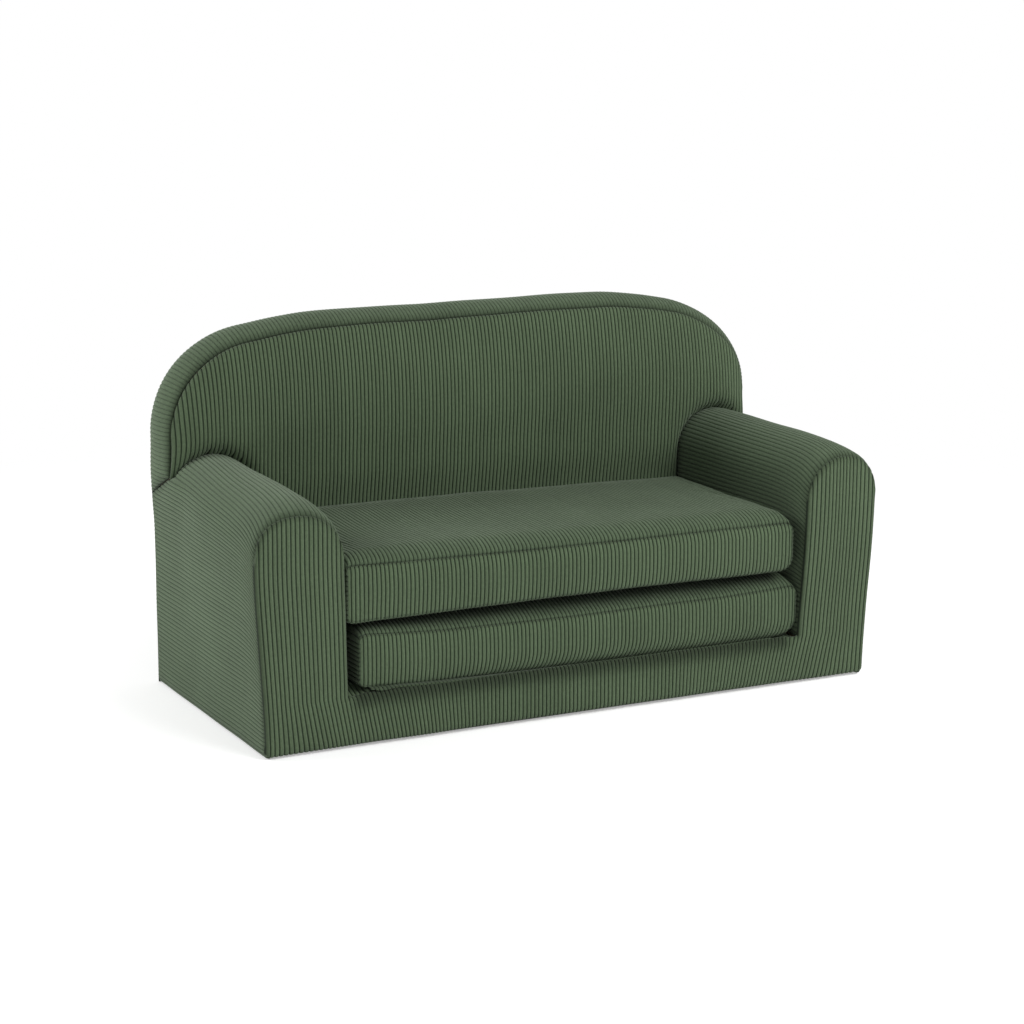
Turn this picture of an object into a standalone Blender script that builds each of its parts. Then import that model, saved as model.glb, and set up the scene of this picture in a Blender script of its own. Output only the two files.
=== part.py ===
"""A children's flip-open sofa: a foam body with rolled arms and an arched back, and a seat of
two foam slabs that flips forward over the base and unfolds into a mattress on the floor.

Metres. X runs across the front, Y from the front to the rear, Z up. The origin is on the floor
under the middle of the sofa. Every cover piece is a thin closed shell round a foam core.
"""

import math

import bmesh
import bpy

# Cloth, clearances and seams
CORD_THICK = 0.0024
LINING_THICK = 0.0015
SEAM_GAP = 0.0003
CUTTER_OVERRUN = 0.004
MERGE_DISTANCE = 0.00001

# Body
FLOOR_WIDTH = 0.782
DEPTH = 0.355
RAIL_TOP = 0.060
DECK_TOP = 0.066
DECK_NOSE = 0.009

# Arms: the front seam is an arch that leans outwards, and the crest rises behind it
ARM_WIDTH = 0.099
ARM_SEAM_TOP = 0.274
ARM_CREST = 0.288
ARM_ROLL_LENGTH = 0.018
ARM_LEAN = 0.0105
ARM_SPREAD = 0.0035
SIDE_BLEND_LENGTH = 0.030

# Back: a three-centred arch, with a crowned border band round it
BACK_SEAM_TOP = 0.430
BACK_CORNER_RADIUS = 0.115
BACK_TOP_RADIUS = 3.84
BACK_SEAM_DEPTH = 0.063
BACK_PANEL_CROWN = 0.004
BAND_CROWN_TOP = 0.010
BAND_CROWN_SIDE = 0.003

# Seat slabs
SLAB_END_GAP = 0.005
SLAB_FRONT_SETBACK = 0.006
SLAB_REAR_GAP = 0.0165
SLAB_CORNER = 0.008
SLAB_FACE_CROWN = 0.002
SLAB_END_DRAW = 0.002
SLAB_REST_GAP = 0.0005
LOWER_SLAB_EDGE = 0.059
LOWER_TOP_CROWN = 0.010
UPPER_BOTTOM_CROWN = 0.005
UPPER_SLAB_EDGE = 0.0585
UPPER_TOP_CROWN = 0.007

# Hinge webs: folded strips of cover cloth, each a fold on its hinge line with one edge sewn down
FRONT_HINGE_REACH = 0.004
REAR_HINGE_REACH = 0.0028
FRONT_WEB_RADIUS = 0.0019
REAR_WEB_RADIUS = 0.0018
REAR_WEB_SEAM = 0.008
WEB_END_INSET = 0.023
FLOOR_CLEARANCE = 0.0025

# Zips: a tape with its coil behind a slot in a rear panel, and a slider without a puller
ZIP_TAPE_WIDTH = 0.024
ZIP_TAPE_THICK = 0.0008
ZIP_COIL_WIDTH = 0.004
ZIP_COIL_HEIGHT = 0.0018
ZIP_SLOT_HEIGHT = 0.009
ZIP_SLIDER_LENGTH = 0.013
ZIP_SLIDER_HEIGHT = 0.008
ZIP_SLIDER_SINK = 0.0002
ZIP_END_GAP = 0.002
BODY_ZIP_END_INSET = 0.081
BODY_ZIP_HEIGHT = 0.032
SLAB_ZIP_END_INSET = 0.067

# Counts of flat facets along the curves
ARCH_FACETS = 12
SIDE_SHARES = (0.0, 0.04, 0.35, 0.7, 1.0)
SIDE_SEAM_FACETS = 1
WRAP_STATIONS_SHARES = (0.0, 0.012, 0.04, 0.09, 0.2, 0.45, 0.72, 0.88, 1.0)
BACK_SIDE_FACETS = 3
CORNER_FACETS = 8
TOP_FACETS = 8
BAND_STATIONS_SHARES = (0.0, 0.12, 0.32, 0.5, 0.68, 0.88, 1.0)
SLAB_CORNER_FACETS = 3
SLAB_TOP_FACETS = 10
SLAB_STATIONS_SHARES = (0.0, 0.05, 0.16, 0.34, 0.5, 0.66, 0.84, 0.95, 1.0)
PANEL_ROWS = 4
BACK_PANEL_ROWS = 8
NOSE_FACETS = 4
WEB_FACETS = 12

# Colours of the pieces, as linear red, green and blue
CORD_GREEN = (0.075, 0.118, 0.067)
FOAM_CREAM = (0.72, 0.66, 0.47)
CLOTH_BLACK = (0.012, 0.012, 0.013)
ZIP_GREEN = (0.035, 0.055, 0.034)
SLIDER_GREY = (0.20, 0.21, 0.20)
CLOTH_ROUGHNESS = 0.92
FOAM_ROUGHNESS = 0.85
METAL_ROUGHNESS = 0.35

# Places that follow from the sizes above
FRONT = -DEPTH / 2
REAR = DEPTH / 2
SKIN = CORD_THICK + SEAM_GAP
FLOOR_SKIN = LINING_THICK + SEAM_GAP
BODY_HALF = FLOOR_WIDTH / 2
BAY_HALF = BODY_HALF - ARM_WIDTH
BACK_SEAM_Y = REAR - BACK_SEAM_DEPTH
ARM_END = BACK_SEAM_Y - SEAM_GAP
NOSE_FOOT = RAIL_TOP + SEAM_GAP
NOSE_BACK = FRONT + DECK_NOSE
SLAB_HALF = BAY_HALF - SLAB_END_GAP
SLAB_FRONT = FRONT + SLAB_FRONT_SETBACK
SLAB_REAR = BACK_SEAM_Y - SLAB_REAR_GAP
SLAB_CORE_FRONT = SLAB_FRONT + SLAB_FACE_CROWN + SKIN
WEB_HALF = SLAB_HALF - WEB_END_INSET
BODY_ZIP_LENGTH = 2 * (BODY_HALF - BODY_ZIP_END_INSET)
SLAB_ZIP_LENGTH = 2 * (SLAB_HALF - SLAB_ZIP_END_INSET)
LOWER_BOTTOM = DECK_TOP + SLAB_REST_GAP
LOWER_EDGE_TOP = LOWER_BOTTOM + LOWER_SLAB_EDGE
UPPER_BOTTOM = LOWER_EDGE_TOP + LOWER_TOP_CROWN + SLAB_REST_GAP
UPPER_EDGE_BOTTOM = UPPER_BOTTOM + UPPER_BOTTOM_CROWN
UPPER_EDGE_TOP = UPPER_EDGE_BOTTOM + UPPER_SLAB_EDGE
FRONT_HINGE_Y = SLAB_FRONT - FRONT_HINGE_REACH
FRONT_HINGE_Z = (LOWER_EDGE_TOP + LOWER_TOP_CROWN + FLOOR_CLEARANCE) / 2
REAR_HINGE_Y = SLAB_REAR + REAR_HINGE_REACH
REAR_HINGE_Z = FRONT_HINGE_Z + (UPPER_BOTTOM - FLOOR_CLEARANCE) / 2


def lerp(low, high, share):
    return low + (high - low) * share


def clamp(share):
    return min(1.0, max(0.0, share))


def ease(share):
    share = clamp(share)
    return share * share * (3 - 2 * share)


def shares(count):
    return [i / count for i in range(count + 1)]


def clear_scene():
    for obj in list(bpy.data.objects):
        bpy.data.objects.remove(obj, do_unlink=True)


def finish_material(name, colour, roughness, metallic=0.0):
    material = bpy.data.materials.new(name)
    material.use_nodes = True
    shader = material.node_tree.nodes["Principled BSDF"]
    shader.inputs["Base Color"].default_value = (*colour, 1.0)
    shader.inputs["Roughness"].default_value = roughness
    shader.inputs["Metallic"].default_value = metallic
    return material


def cord_material(name):
    return finish_material(name, CORD_GREEN, CLOTH_ROUGHNESS)


def foam_material(name):
    return finish_material(name, FOAM_CREAM, FOAM_ROUGHNESS)


def new_object(name, mesh_data, material, parent=None):
    """Closes a bmesh into an object, with its faces pointing out, under its joint's empty."""
    bmesh.ops.remove_doubles(mesh_data, verts=mesh_data.verts, dist=MERGE_DISTANCE)
    bmesh.ops.recalc_face_normals(mesh_data, faces=mesh_data.faces)
    mesh = bpy.data.meshes.new(name)
    mesh_data.to_mesh(mesh)
    mesh_data.free()
    mesh.materials.append(material)
    mesh.shade_smooth()
    mesh.set_sharp_from_angle(angle=math.radians(35))
    obj = bpy.data.objects.new(name, mesh)
    bpy.context.scene.collection.objects.link(obj)
    if parent is not None:
        obj.parent = parent
        obj.matrix_parent_inverse = parent.matrix_world.inverted()
    return obj


def joint_empty(name, place, parent=None):
    empty = bpy.data.objects.new(name, None)
    bpy.context.scene.collection.objects.link(empty)
    empty.location = place
    if parent is not None:
        empty.parent = parent
        empty.matrix_parent_inverse = parent.matrix_world.inverted()
    bpy.context.view_layer.update()
    return empty


def shell(name, outer, inner, material, parent=None):
    """A closed sheet between two grids of points that have the same rows and columns."""
    data = bmesh.new()
    sides = [[[data.verts.new(p) for p in row] for row in grid] for grid in (outer, inner)]
    last_row = len(outer) - 1
    last_column = len(outer[0]) - 1
    for verts in sides:
        for i in range(last_row):
            for j in range(last_column):
                data.faces.new((verts[i][j], verts[i][j + 1], verts[i + 1][j + 1], verts[i + 1][j]))
    top, under = sides
    for i in range(last_row):
        for j in (0, last_column):
            data.faces.new((top[i][j], top[i + 1][j], under[i + 1][j], under[i][j]))
    for j in range(last_column):
        for i in (0, last_row):
            data.faces.new((top[i][j], top[i][j + 1], under[i][j + 1], under[i][j]))
    return new_object(name, data, material, parent)


def loft(name, rings, material, parent=None):
    """A closed solid through rings of points, with a flat cap on the first and the last."""
    data = bmesh.new()
    loops = [[data.verts.new(p) for p in ring] for ring in rings]
    count = len(rings[0])
    for low, high in zip(loops, loops[1:]):
        for k in range(count):
            after = (k + 1) % count
            data.faces.new((low[k], low[after], high[after], high[k]))
    data.faces.new(loops[0])
    data.faces.new(loops[-1])
    return new_object(name, data, material, parent)


def prism_along_x(name, profile, half_length, material, parent=None, centre=0.0):
    """An outline of (y, z) points pushed along X, the same way each side of the centre."""
    rings = [[(x, y, z) for y, z in profile] for x in (centre - half_length, centre + half_length)]
    return loft(name, rings, material, parent)


def prism_along_y(name, profile, y_low, y_high, material, parent=None):
    """An outline of (x, z) points pushed along Y."""
    return loft(name, [[(x, y, z) for x, z in profile] for y in (y_low, y_high)], material, parent)


def arc(centre, radius, start, end, facets):
    """Points on a circle from one angle to another, in degrees, both ends included."""
    points = []
    for share in shares(facets):
        angle = math.radians(lerp(start, end, share))
        points.append((centre[0] + radius * math.cos(angle), centre[1] + radius * math.sin(angle)))
    return points


def cut_slot(obj, length, height, y_low, y_high, centre_z, parent=None):
    """Cuts the zip's slot through a rear panel."""
    profile = [
        (y_low - CUTTER_OVERRUN, centre_z - height / 2),
        (y_high + CUTTER_OVERRUN, centre_z - height / 2),
        (y_high + CUTTER_OVERRUN, centre_z + height / 2),
        (y_low - CUTTER_OVERRUN, centre_z + height / 2),
    ]
    material = obj.data.materials[0]
    cutter = prism_along_x(obj.name + "_slot_cutter", profile, length / 2, material, parent)
    cutter.hide_render = True
    cutter.display_type = "WIRE"
    slot = obj.modifiers.new("zip slot", "BOOLEAN")
    slot.operation = "DIFFERENCE"
    slot.solver = "EXACT"
    slot.object = cutter


# Arms


def arm_arch(y):
    """Centre (x, z) and radius of the arch over the right arm, at one place along it."""
    behind_seam = max(0.0, y - FRONT)
    fade = clamp((ARM_END - y) / (ARM_END - FRONT))
    rise = 1 - math.exp(-behind_seam / ARM_ROLL_LENGTH)
    radius = ARM_WIDTH / 2 + ARM_SPREAD * fade
    centre_x = (BAY_HALF + BODY_HALF) / 2 + ARM_LEAN * fade
    return centre_x, lerp(ARM_SEAM_TOP, ARM_CREST, rise) - radius, radius


def inner_face_x(y, z):
    centre_x, centre_z, radius = arm_arch(y)
    return lerp(BAY_HALF, centre_x - radius, ease(z / centre_z))


def outer_face_x(y, z):
    centre_x, centre_z, radius = arm_arch(y)
    return lerp(BODY_HALF, centre_x + radius, ease(z / centre_z))


def arm_section(y, inset, inner_foot, outer_foot):
    """(x, z) points of the right arm from its inner foot, over its arch, to its outer foot."""
    centre_x, centre_z, radius = arm_arch(y)
    points = []
    for share in SIDE_SHARES[:0:-1]:
        z = lerp(centre_z, inner_foot, share)
        points.append((inner_face_x(y, z) + inset, z))
    points += arc((centre_x, centre_z), radius - inset, 180, 0, ARCH_FACETS)
    for share in SIDE_SHARES[1:]:
        z = lerp(centre_z, outer_foot, share)
        points.append((outer_face_x(y, z) - inset, z))
    return points


def side_seam():
    """Heights of the seam between an arm's wrap and the border band, at its front and its rear end."""
    section = arm_section(ARM_END, 0.0, DECK_TOP, FLOOR_SKIN)
    springing = len(SIDE_SHARES) - 1 + ARCH_FACETS
    return section[springing - SIDE_SEAM_FACETS][1], section[springing + SIDE_SEAM_FACETS][1]


def wrap_end(place, height):
    """Where the arm's wrap ends along Y: at the back's front, or past its side below the seam."""
    if place < len(SIDE_SHARES) + ARCH_FACETS / 2:
        return ARM_END
    high, low = side_seam()
    return lerp(ARM_END, REAR, clamp((high - height) / (high - low)))


def wrap_point(place, y, inset):
    """(x, z) of one place round the right arm's section; below the side seam it joins the back's side."""
    section = arm_section(y, inset, DECK_TOP + SEAM_GAP, FLOOR_SKIN)
    x, z = section[place]
    if place >= len(section) - len(SIDE_SHARES) - SIDE_SEAM_FACETS:
        x = lerp(x, BODY_HALF - inset, ease(1 + (y - ARM_END) / SIDE_BLEND_LENGTH))
    return x, z


def arm_wrap(name, side):
    """One cloth piece over an arm: its outside, which also covers the back's side, its arch, its inside."""
    at_end = arm_section(ARM_END, 0.0, DECK_TOP + SEAM_GAP, FLOOR_SKIN)
    grids = []
    for inset in (0.0, CORD_THICK):
        rows = []
        for place, (x, height) in enumerate(at_end):
            end = wrap_end(place, height)
            stations = [lerp(FRONT + SKIN, ARM_END, share) for share in WRAP_STATIONS_SHARES]
            stations += [(ARM_END + end) / 2, end]
            points = [(*wrap_point(place, y, inset), y) for y in stations]
            rows.append([(side * x, y, z) for x, z, y in points])
        grids.append(rows)
    return shell(name, grids[0], grids[1], cord_material(name))


def arm_foam(name, side):
    """The arm's foam core stands on the floor cloth and ends against the back's front panel."""
    places = range(len(arm_section(ARM_END, SKIN, DECK_TOP, FLOOR_SKIN)))
    rings = []
    for share in WRAP_STATIONS_SHARES:
        y = lerp(FRONT + SKIN, ARM_END, share)
        section = [(BAY_HALF + SKIN, FLOOR_SKIN)] + [wrap_point(place, y, SKIN) for place in places]
        rings.append([(side * x, y, z) for x, z in section])
    return loft(name, rings, foam_material(name))


# Back


def back_outline(inset, foot):
    """(x, z) points of the back's arch, from the right foot over the top to the left foot."""
    corner_x = BODY_HALF - BACK_CORNER_RADIUS
    reach = BACK_TOP_RADIUS - BACK_CORNER_RADIUS
    top_centre_z = BACK_SEAM_TOP - BACK_TOP_RADIUS
    corner_z = top_centre_z + math.sqrt(reach**2 - corner_x**2)
    turn = math.degrees(math.asin(corner_x / reach))
    corner_radius = BACK_CORNER_RADIUS - inset
    points = []
    for share in shares(BACK_SIDE_FACETS)[:-1]:
        points.append((BODY_HALF - inset, lerp(foot, corner_z, share)))
    points += arc((corner_x, corner_z), corner_radius, 0, 90 - turn, CORNER_FACETS)
    points += arc((0.0, top_centre_z), BACK_TOP_RADIUS - inset, 90 - turn, 90 + turn, TOP_FACETS)[1:-1]
    points += arc((-corner_x, corner_z), corner_radius, 90 + turn, 180, CORNER_FACETS)
    for share in shares(BACK_SIDE_FACETS)[1:]:
        points.append((inset - BODY_HALF, lerp(corner_z, foot, share)))
    return points


def band_bulge(share):
    """The band's bulge across its width, straight between its stations."""
    for low, high in zip(BAND_STATIONS_SHARES, BAND_STATIONS_SHARES[1:]):
        if share <= high:
            ends = [1 - (2 * station - 1) ** 2 for station in (low, high)]
            return lerp(*ends, (share - low) / (high - low))
    return 0.0


def band_row(share, inset):
    """One row of the border band at a share of the back's thickness, from right to left.

    It bulges most over the top, less at the sides, and not at its two seams with the arms' wraps.
    """
    foot = lerp(*side_seam(), share) + 2 * SEAM_GAP
    y = lerp(BACK_SEAM_Y, REAR, share)
    row = []
    for place, (x, z) in enumerate(back_outline(0.0, foot)):
        up = clamp((z - foot) / (BACK_SEAM_TOP - foot))
        crown = lerp(BAND_CROWN_SIDE, BAND_CROWN_TOP, ease(up)) * ease(2 * up)
        bulged_x, bulged_z = back_outline(inset - crown * band_bulge(share), foot)[place]
        row.append((bulged_x, y, bulged_z))
    return row


def back_border_band():
    name = "back_border_band"
    outer = [band_row(share, 0.0) for share in BAND_STATIONS_SHARES]
    inner = [band_row(share, CORD_THICK) for share in BAND_STATIONS_SHARES]
    return shell(name, outer, inner, cord_material(name))


def back_foam():
    """The back's foam core, full height, crowned round its edge as the border band is."""
    name = "back_foam"
    half = BODY_HALF - SKIN
    front_share = SKIN / BACK_SEAM_DEPTH
    rear_share = 1 - (SKIN + ZIP_TAPE_THICK + SEAM_GAP) / BACK_SEAM_DEPTH
    rings = []
    for share in (front_share,) + BAND_STATIONS_SHARES[1:-1] + (rear_share,):
        row = band_row(share, SKIN)
        y = row[0][1]
        rings.append([(half, y, FLOOR_SKIN)] + row + [(-half, y, FLOOR_SKIN)])
    return loft(name, rings, foam_material(name))


def back_panel_crown(x, z, foot, top):
    """The back's front panel bulges forward between the arms, and over its full width above them."""
    above_arms = ease((z - ARM_CREST) / ARM_WIDTH)
    half = lerp(BAY_HALF, BODY_HALF, above_arms)
    across = max(0.0, 1 - (abs(x) / half) ** 2)
    up = (z - foot) / (top - foot)
    return BACK_PANEL_CROWN * ease(across) * (1 - clamp(up) ** 4)


def back_front_panel():
    """The panel behind the seat, from the deck up to the arch; the arms end against it."""
    name = "back_front_panel"
    foot = DECK_TOP + SEAM_GAP
    arch = back_outline(SKIN, foot)[BACK_SIDE_FACETS:-BACK_SIDE_FACETS]
    grids = []
    for depth in (0.0, CORD_THICK):
        rows = []
        for x, top in arch:
            row = []
            for share in shares(BACK_PANEL_ROWS):
                z = lerp(foot, top, share)
                row.append((x, BACK_SEAM_Y + depth - back_panel_crown(x, z, foot, top), z))
            rows.append(row)
        grids.append(rows)
    return shell(name, grids[0], grids[1], cord_material(name))


def back_rear_panel():
    """The flat panel over the whole rear of the sofa, with the body's zip slot near its foot."""
    name = "back_rear_panel"
    panel = prism_along_y(name, back_outline(SKIN, FLOOR_SKIN), REAR - CORD_THICK, REAR, cord_material(name))
    cut_slot(panel, BODY_ZIP_LENGTH, ZIP_SLOT_HEIGHT, REAR - CORD_THICK, REAR, BODY_ZIP_HEIGHT)
    return panel


# Base


def nose_profile(inset):
    """(y, z) points of the base's rounded front edge, from the rail's top back to the deck."""
    drop = DECK_TOP - NOSE_FOOT
    points = []
    for share in shares(NOSE_FACETS):
        angle = math.radians(lerp(180, 90, share))
        y = NOSE_BACK + (DECK_NOSE - inset) * math.cos(angle)
        z = NOSE_FOOT + (drop - inset) * math.sin(angle)
        points.append((y, z))
    return points


def nose_height(y, clearance):
    """Height of the rounded front edge at one place, with a clearance over it."""
    across = (y - NOSE_BACK) / (DECK_NOSE + clearance)
    return NOSE_FOOT + (DECK_TOP - NOSE_FOOT + clearance) * math.sqrt(1 - across**2)


def base_deck_panel():
    """The cloth over the base between the arms, with the rounded nose that the slab rests behind."""
    name = "base_deck_panel"
    outer = nose_profile(0.0) + [(ARM_END, DECK_TOP)]
    inner = nose_profile(CORD_THICK) + [(ARM_END, DECK_TOP - CORD_THICK)]
    return prism_along_x(name, outer + inner[::-1], BAY_HALF - SEAM_GAP, cord_material(name))


def base_foam():
    """The foam block under the deck, between the arms' foams and in front of the back's foam."""
    name = "base_foam"
    top = DECK_TOP - SKIN
    rear = BACK_SEAM_Y + CORD_THICK
    front = FRONT + SKIN
    profile = [
        (front, FLOOR_SKIN),
        (front, RAIL_TOP - SEAM_GAP),
        (front + DECK_NOSE / 2, top - SEAM_GAP),
        (front + DECK_NOSE, top),
        (rear, top),
        (rear, FLOOR_SKIN),
    ]
    return prism_along_x(name, profile, BAY_HALF + CORD_THICK, foam_material(name))


def front_panel():
    """One U-shaped piece: the fronts of both arms and the rail between them."""
    name = "front_panel"
    right = arm_section(FRONT, 0.0, RAIL_TOP, FLOOR_SKIN)
    left = [(-x, z) for x, z in right[::-1]]
    return prism_along_y(name, right + left, FRONT, FRONT + CORD_THICK, cord_material(name))


def underside_cloth():
    """The black non-slip cloth that the sofa stands on."""
    name = "underside_cloth"
    half = BODY_HALF - SEAM_GAP
    front = FRONT + SEAM_GAP
    rear = REAR - SEAM_GAP
    profile = [(front, 0.0), (rear, 0.0), (rear, LINING_THICK), (front, LINING_THICK)]
    material = finish_material(name, CLOTH_BLACK, CLOTH_ROUGHNESS)
    return prism_along_x(name, profile, half, material)


# Seat slabs


class Slab:
    """Heights, crowns and joint of one seat slab."""

    def __init__(self, name, edge_bottom, edge_top, bottom_crown, top_crown, pivot):
        self.name = name
        self.edge_bottom = edge_bottom
        self.edge_top = edge_top
        self.bottom_crown = bottom_crown
        self.top_crown = top_crown
        self.pivot = pivot


def pillow(x, share):
    """A crown's share of its height: full in the middle, none at the edges."""
    return (1 - clamp(abs(x) / SLAB_HALF) ** 4) * (1 - abs(2 * share - 1) ** 4)


def slab_half_width(share):
    """Half the slab's length, drawn in between its corners."""
    return SLAB_HALF - SLAB_END_DRAW * (1 - (2 * share - 1) ** 2)


def slab_top(slab, share, inset):
    """(x, z) points over the slab: up its right end, across its crowned top, down its left end."""
    half = slab_half_width(share)
    foot = slab.edge_bottom + SLAB_CORNER + SEAM_GAP
    corner = (half - SLAB_CORNER, slab.edge_top - SLAB_CORNER)
    points = [(half - inset, foot)]
    points += arc(corner, SLAB_CORNER - inset, 0, 90, SLAB_CORNER_FACETS)
    for step in shares(SLAB_TOP_FACETS)[1:-1]:
        x = lerp(corner[0], -corner[0], step)
        points.append((x, slab.edge_top - inset))
    points += arc((-corner[0], corner[1]), SLAB_CORNER - inset, 90, 180, SLAB_CORNER_FACETS)
    points.append((inset - half, foot))
    return [(x, lift(z, slab, x, share)) for x, z in points]


def slab_bottom(slab, share, inset):
    """(x, z) points under the slab, from its left end to its right one."""
    half = slab_half_width(share)
    head = slab.edge_bottom + SLAB_CORNER
    centre_x = half - SLAB_CORNER
    points = arc((-centre_x, head), SLAB_CORNER - inset, 180, 270, SLAB_CORNER_FACETS)
    for step in shares(SLAB_TOP_FACETS)[1:-1]:
        points.append((lerp(-centre_x, centre_x, step), slab.edge_bottom + inset))
    points += arc((centre_x, head), SLAB_CORNER - inset, 270, 360, SLAB_CORNER_FACETS)
    return [(x, lift(z, slab, x, share)) for x, z in points]


def lift(z, slab, x, share):
    """Moves a height of the flat slab to where the crowned top or bottom takes it."""
    middle = (slab.edge_bottom + slab.edge_top) / 2
    half = (slab.edge_top - slab.edge_bottom) / 2
    if z > middle:
        return z + slab.top_crown * pillow(x, share) * ease((z - middle) / half)
    return z - slab.bottom_crown * pillow(x, share) * ease((middle - z) / half)


def slab_sheet(slab, name, section):
    """A cover piece swept from the slab's front panel to its rear panel."""
    grids = []
    for inset in (0.0, CORD_THICK):
        rows = []
        for share in SLAB_STATIONS_SHARES:
            y = lerp(SLAB_CORE_FRONT, SLAB_REAR - SKIN, share)
            rows.append([(x, y, z) for x, z in section(slab, share, inset)])
        grids.append(rows)
    return shell(name, grids[0], grids[1], cord_material(name), slab.pivot)


def slab_foam(slab):
    name = slab.name + "_foam"
    rings = []
    rear = SLAB_REAR - SKIN - ZIP_TAPE_THICK - SEAM_GAP
    for share in SLAB_STATIONS_SHARES:
        y = lerp(SLAB_CORE_FRONT, rear, share)
        section = slab_top(slab, share, SKIN)[1:-1] + slab_bottom(slab, share, SKIN)
        rings.append([(x, y, z) for x, z in section])
    return loft(name, rings, foam_material(name), slab.pivot)


def slab_face(slab, name, seam_y, out, crown):
    """A front or rear panel as high as the slab's edge, crowned outwards from its seams."""
    half = slab_half_width(0.0)
    grids = []
    for depth in (0.0, CORD_THICK):
        rows = []
        for x in face_columns(half):
            beside = max(0.0, abs(x) - (half - SLAB_CORNER))
            cut = SLAB_CORNER - math.sqrt(max(0.0, SLAB_CORNER**2 - beside**2))
            row = []
            for share in shares(PANEL_ROWS):
                z = lerp(slab.edge_bottom + cut, slab.edge_top - cut, share)
                swell = crown * (1 - (2 * share - 1) ** 2) * (1 - (x / half) ** 4)
                row.append((x, seam_y + out * (swell - depth), z))
            rows.append(row)
        grids.append(rows)
    return shell(name, grids[0], grids[1], cord_material(name), slab.pivot)


def face_columns(half):
    """Places across a slab's face: close together over its rounded corners, wide between them."""
    corner = [half - SLAB_CORNER * (1 - math.sin(math.radians(90 * s))) for s in shares(SLAB_CORNER_FACETS)]
    between = [lerp(-corner[0], corner[0], s) for s in shares(SLAB_TOP_FACETS)]
    return [-x for x in corner[::-1]] + between[1:-1] + corner


def slab_pieces(slab):
    """Foam, covers and zip of one slab."""
    slab_foam(slab)
    slab_sheet(slab, slab.name + "_top_cover", slab_top)
    slab_sheet(slab, slab.name + "_bottom_cover", slab_bottom)
    slab_face(slab, slab.name + "_front_panel", SLAB_FRONT + SLAB_FACE_CROWN, -1, SLAB_FACE_CROWN)
    rear = slab_face(slab, slab.name + "_rear_panel", SLAB_REAR, 1, 0.0)
    zip_z = (slab.edge_bottom + slab.edge_top) / 2
    cut_slot(rear, SLAB_ZIP_LENGTH, ZIP_SLOT_HEIGHT, SLAB_REAR - SKIN, SLAB_REAR, zip_z, slab.pivot)
    zip_pair(slab.name, SLAB_ZIP_LENGTH, SLAB_REAR, zip_z, slab.pivot)


# Zips


def zip_pair(name, length, face_y, centre_z, parent=None):
    """A closed zip behind its slot, and its slider parked at the left end of the slot."""
    root = face_y - SKIN
    tape_back = root - ZIP_TAPE_THICK
    tape_half = ZIP_TAPE_WIDTH / 2
    coil_half = ZIP_COIL_WIDTH / 2
    coil_top = root + ZIP_COIL_HEIGHT
    tape_profile = [
        (tape_back, centre_z - tape_half),
        (root, centre_z - tape_half),
        (root, centre_z - coil_half),
        (coil_top, centre_z - coil_half),
        (coil_top, centre_z + coil_half),
        (root, centre_z + coil_half),
        (root, centre_z + tape_half),
        (tape_back, centre_z + tape_half),
    ]
    tape_material = finish_material(name + "_zip", ZIP_GREEN, CLOTH_ROUGHNESS)
    prism_along_x(name + "_zip", tape_profile, length / 2 - ZIP_END_GAP, tape_material, parent)
    slider_half = ZIP_SLIDER_HEIGHT / 2
    groove_half = coil_half + SEAM_GAP
    roof = coil_top + SEAM_GAP
    slider_foot = root + SEAM_GAP
    slider_top = face_y - ZIP_SLIDER_SINK
    slider_profile = [
        (slider_foot, centre_z - slider_half),
        (slider_top, centre_z - slider_half),
        (slider_top, centre_z + slider_half),
        (slider_foot, centre_z + slider_half),
        (slider_foot, centre_z + groove_half),
        (roof, centre_z + groove_half),
        (roof, centre_z - groove_half),
        (slider_foot, centre_z - groove_half),
    ]
    slider_name = name + "_zip_slider"
    half = ZIP_SLIDER_LENGTH / 2
    parked = ZIP_END_GAP + half - length / 2
    carriage = joint_empty(slider_name + "_run", (parked, face_y, centre_z), parent)
    slider_material = finish_material(slider_name, SLIDER_GREY, METAL_ROUGHNESS, 1.0)
    prism_along_x(slider_name, slider_profile, half, slider_material, carriage, parked)


# Hinge webs


def front_hinge_web(axis_y, axis_z):
    """The fold in front of the lower slab, standing on its sewn edge on the base's rounded front."""
    half = CORD_THICK / 2
    opening = math.degrees(math.acos(half / FRONT_WEB_RADIUS))
    profile = arc((axis_y, axis_z), FRONT_WEB_RADIUS, -opening, 180 + opening, WEB_FACETS)
    profile += [(y, nose_height(y, SEAM_GAP)) for y in (axis_y - half, axis_y + half)]
    prism_along_x("front_hinge_web", profile, WEB_HALF, cord_material("front_hinge_web"))


def rear_hinge_web(axis_y, axis_z, parent):
    """The fold behind the two slabs, hanging from its edge sewn to the upper slab's rear panel."""
    seam_top = UPPER_EDGE_BOTTOM + REAR_WEB_SEAM
    sewn_face = SLAB_REAR + SEAM_GAP
    profile = arc((axis_y, axis_z), REAR_WEB_RADIUS, 90, -180, WEB_FACETS)
    profile += [(sewn_face, axis_z + REAR_WEB_RADIUS), (sewn_face, seam_top)]
    profile += [(sewn_face + CORD_THICK, seam_top)]
    prism_along_x("rear_hinge_web", profile, WEB_HALF, cord_material("rear_hinge_web"), parent)


def build_body():
    underside_cloth()
    base_foam()
    back_foam()
    for name, side in (("left_arm", -1), ("right_arm", 1)):
        arm_foam(name + "_foam", side)
        arm_wrap(name + "_wrap", side)
    front_panel()
    base_deck_panel()
    back_front_panel()
    back_rear_panel()
    back_border_band()
    zip_pair("body", BODY_ZIP_LENGTH, REAR, BODY_ZIP_HEIGHT)


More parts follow.
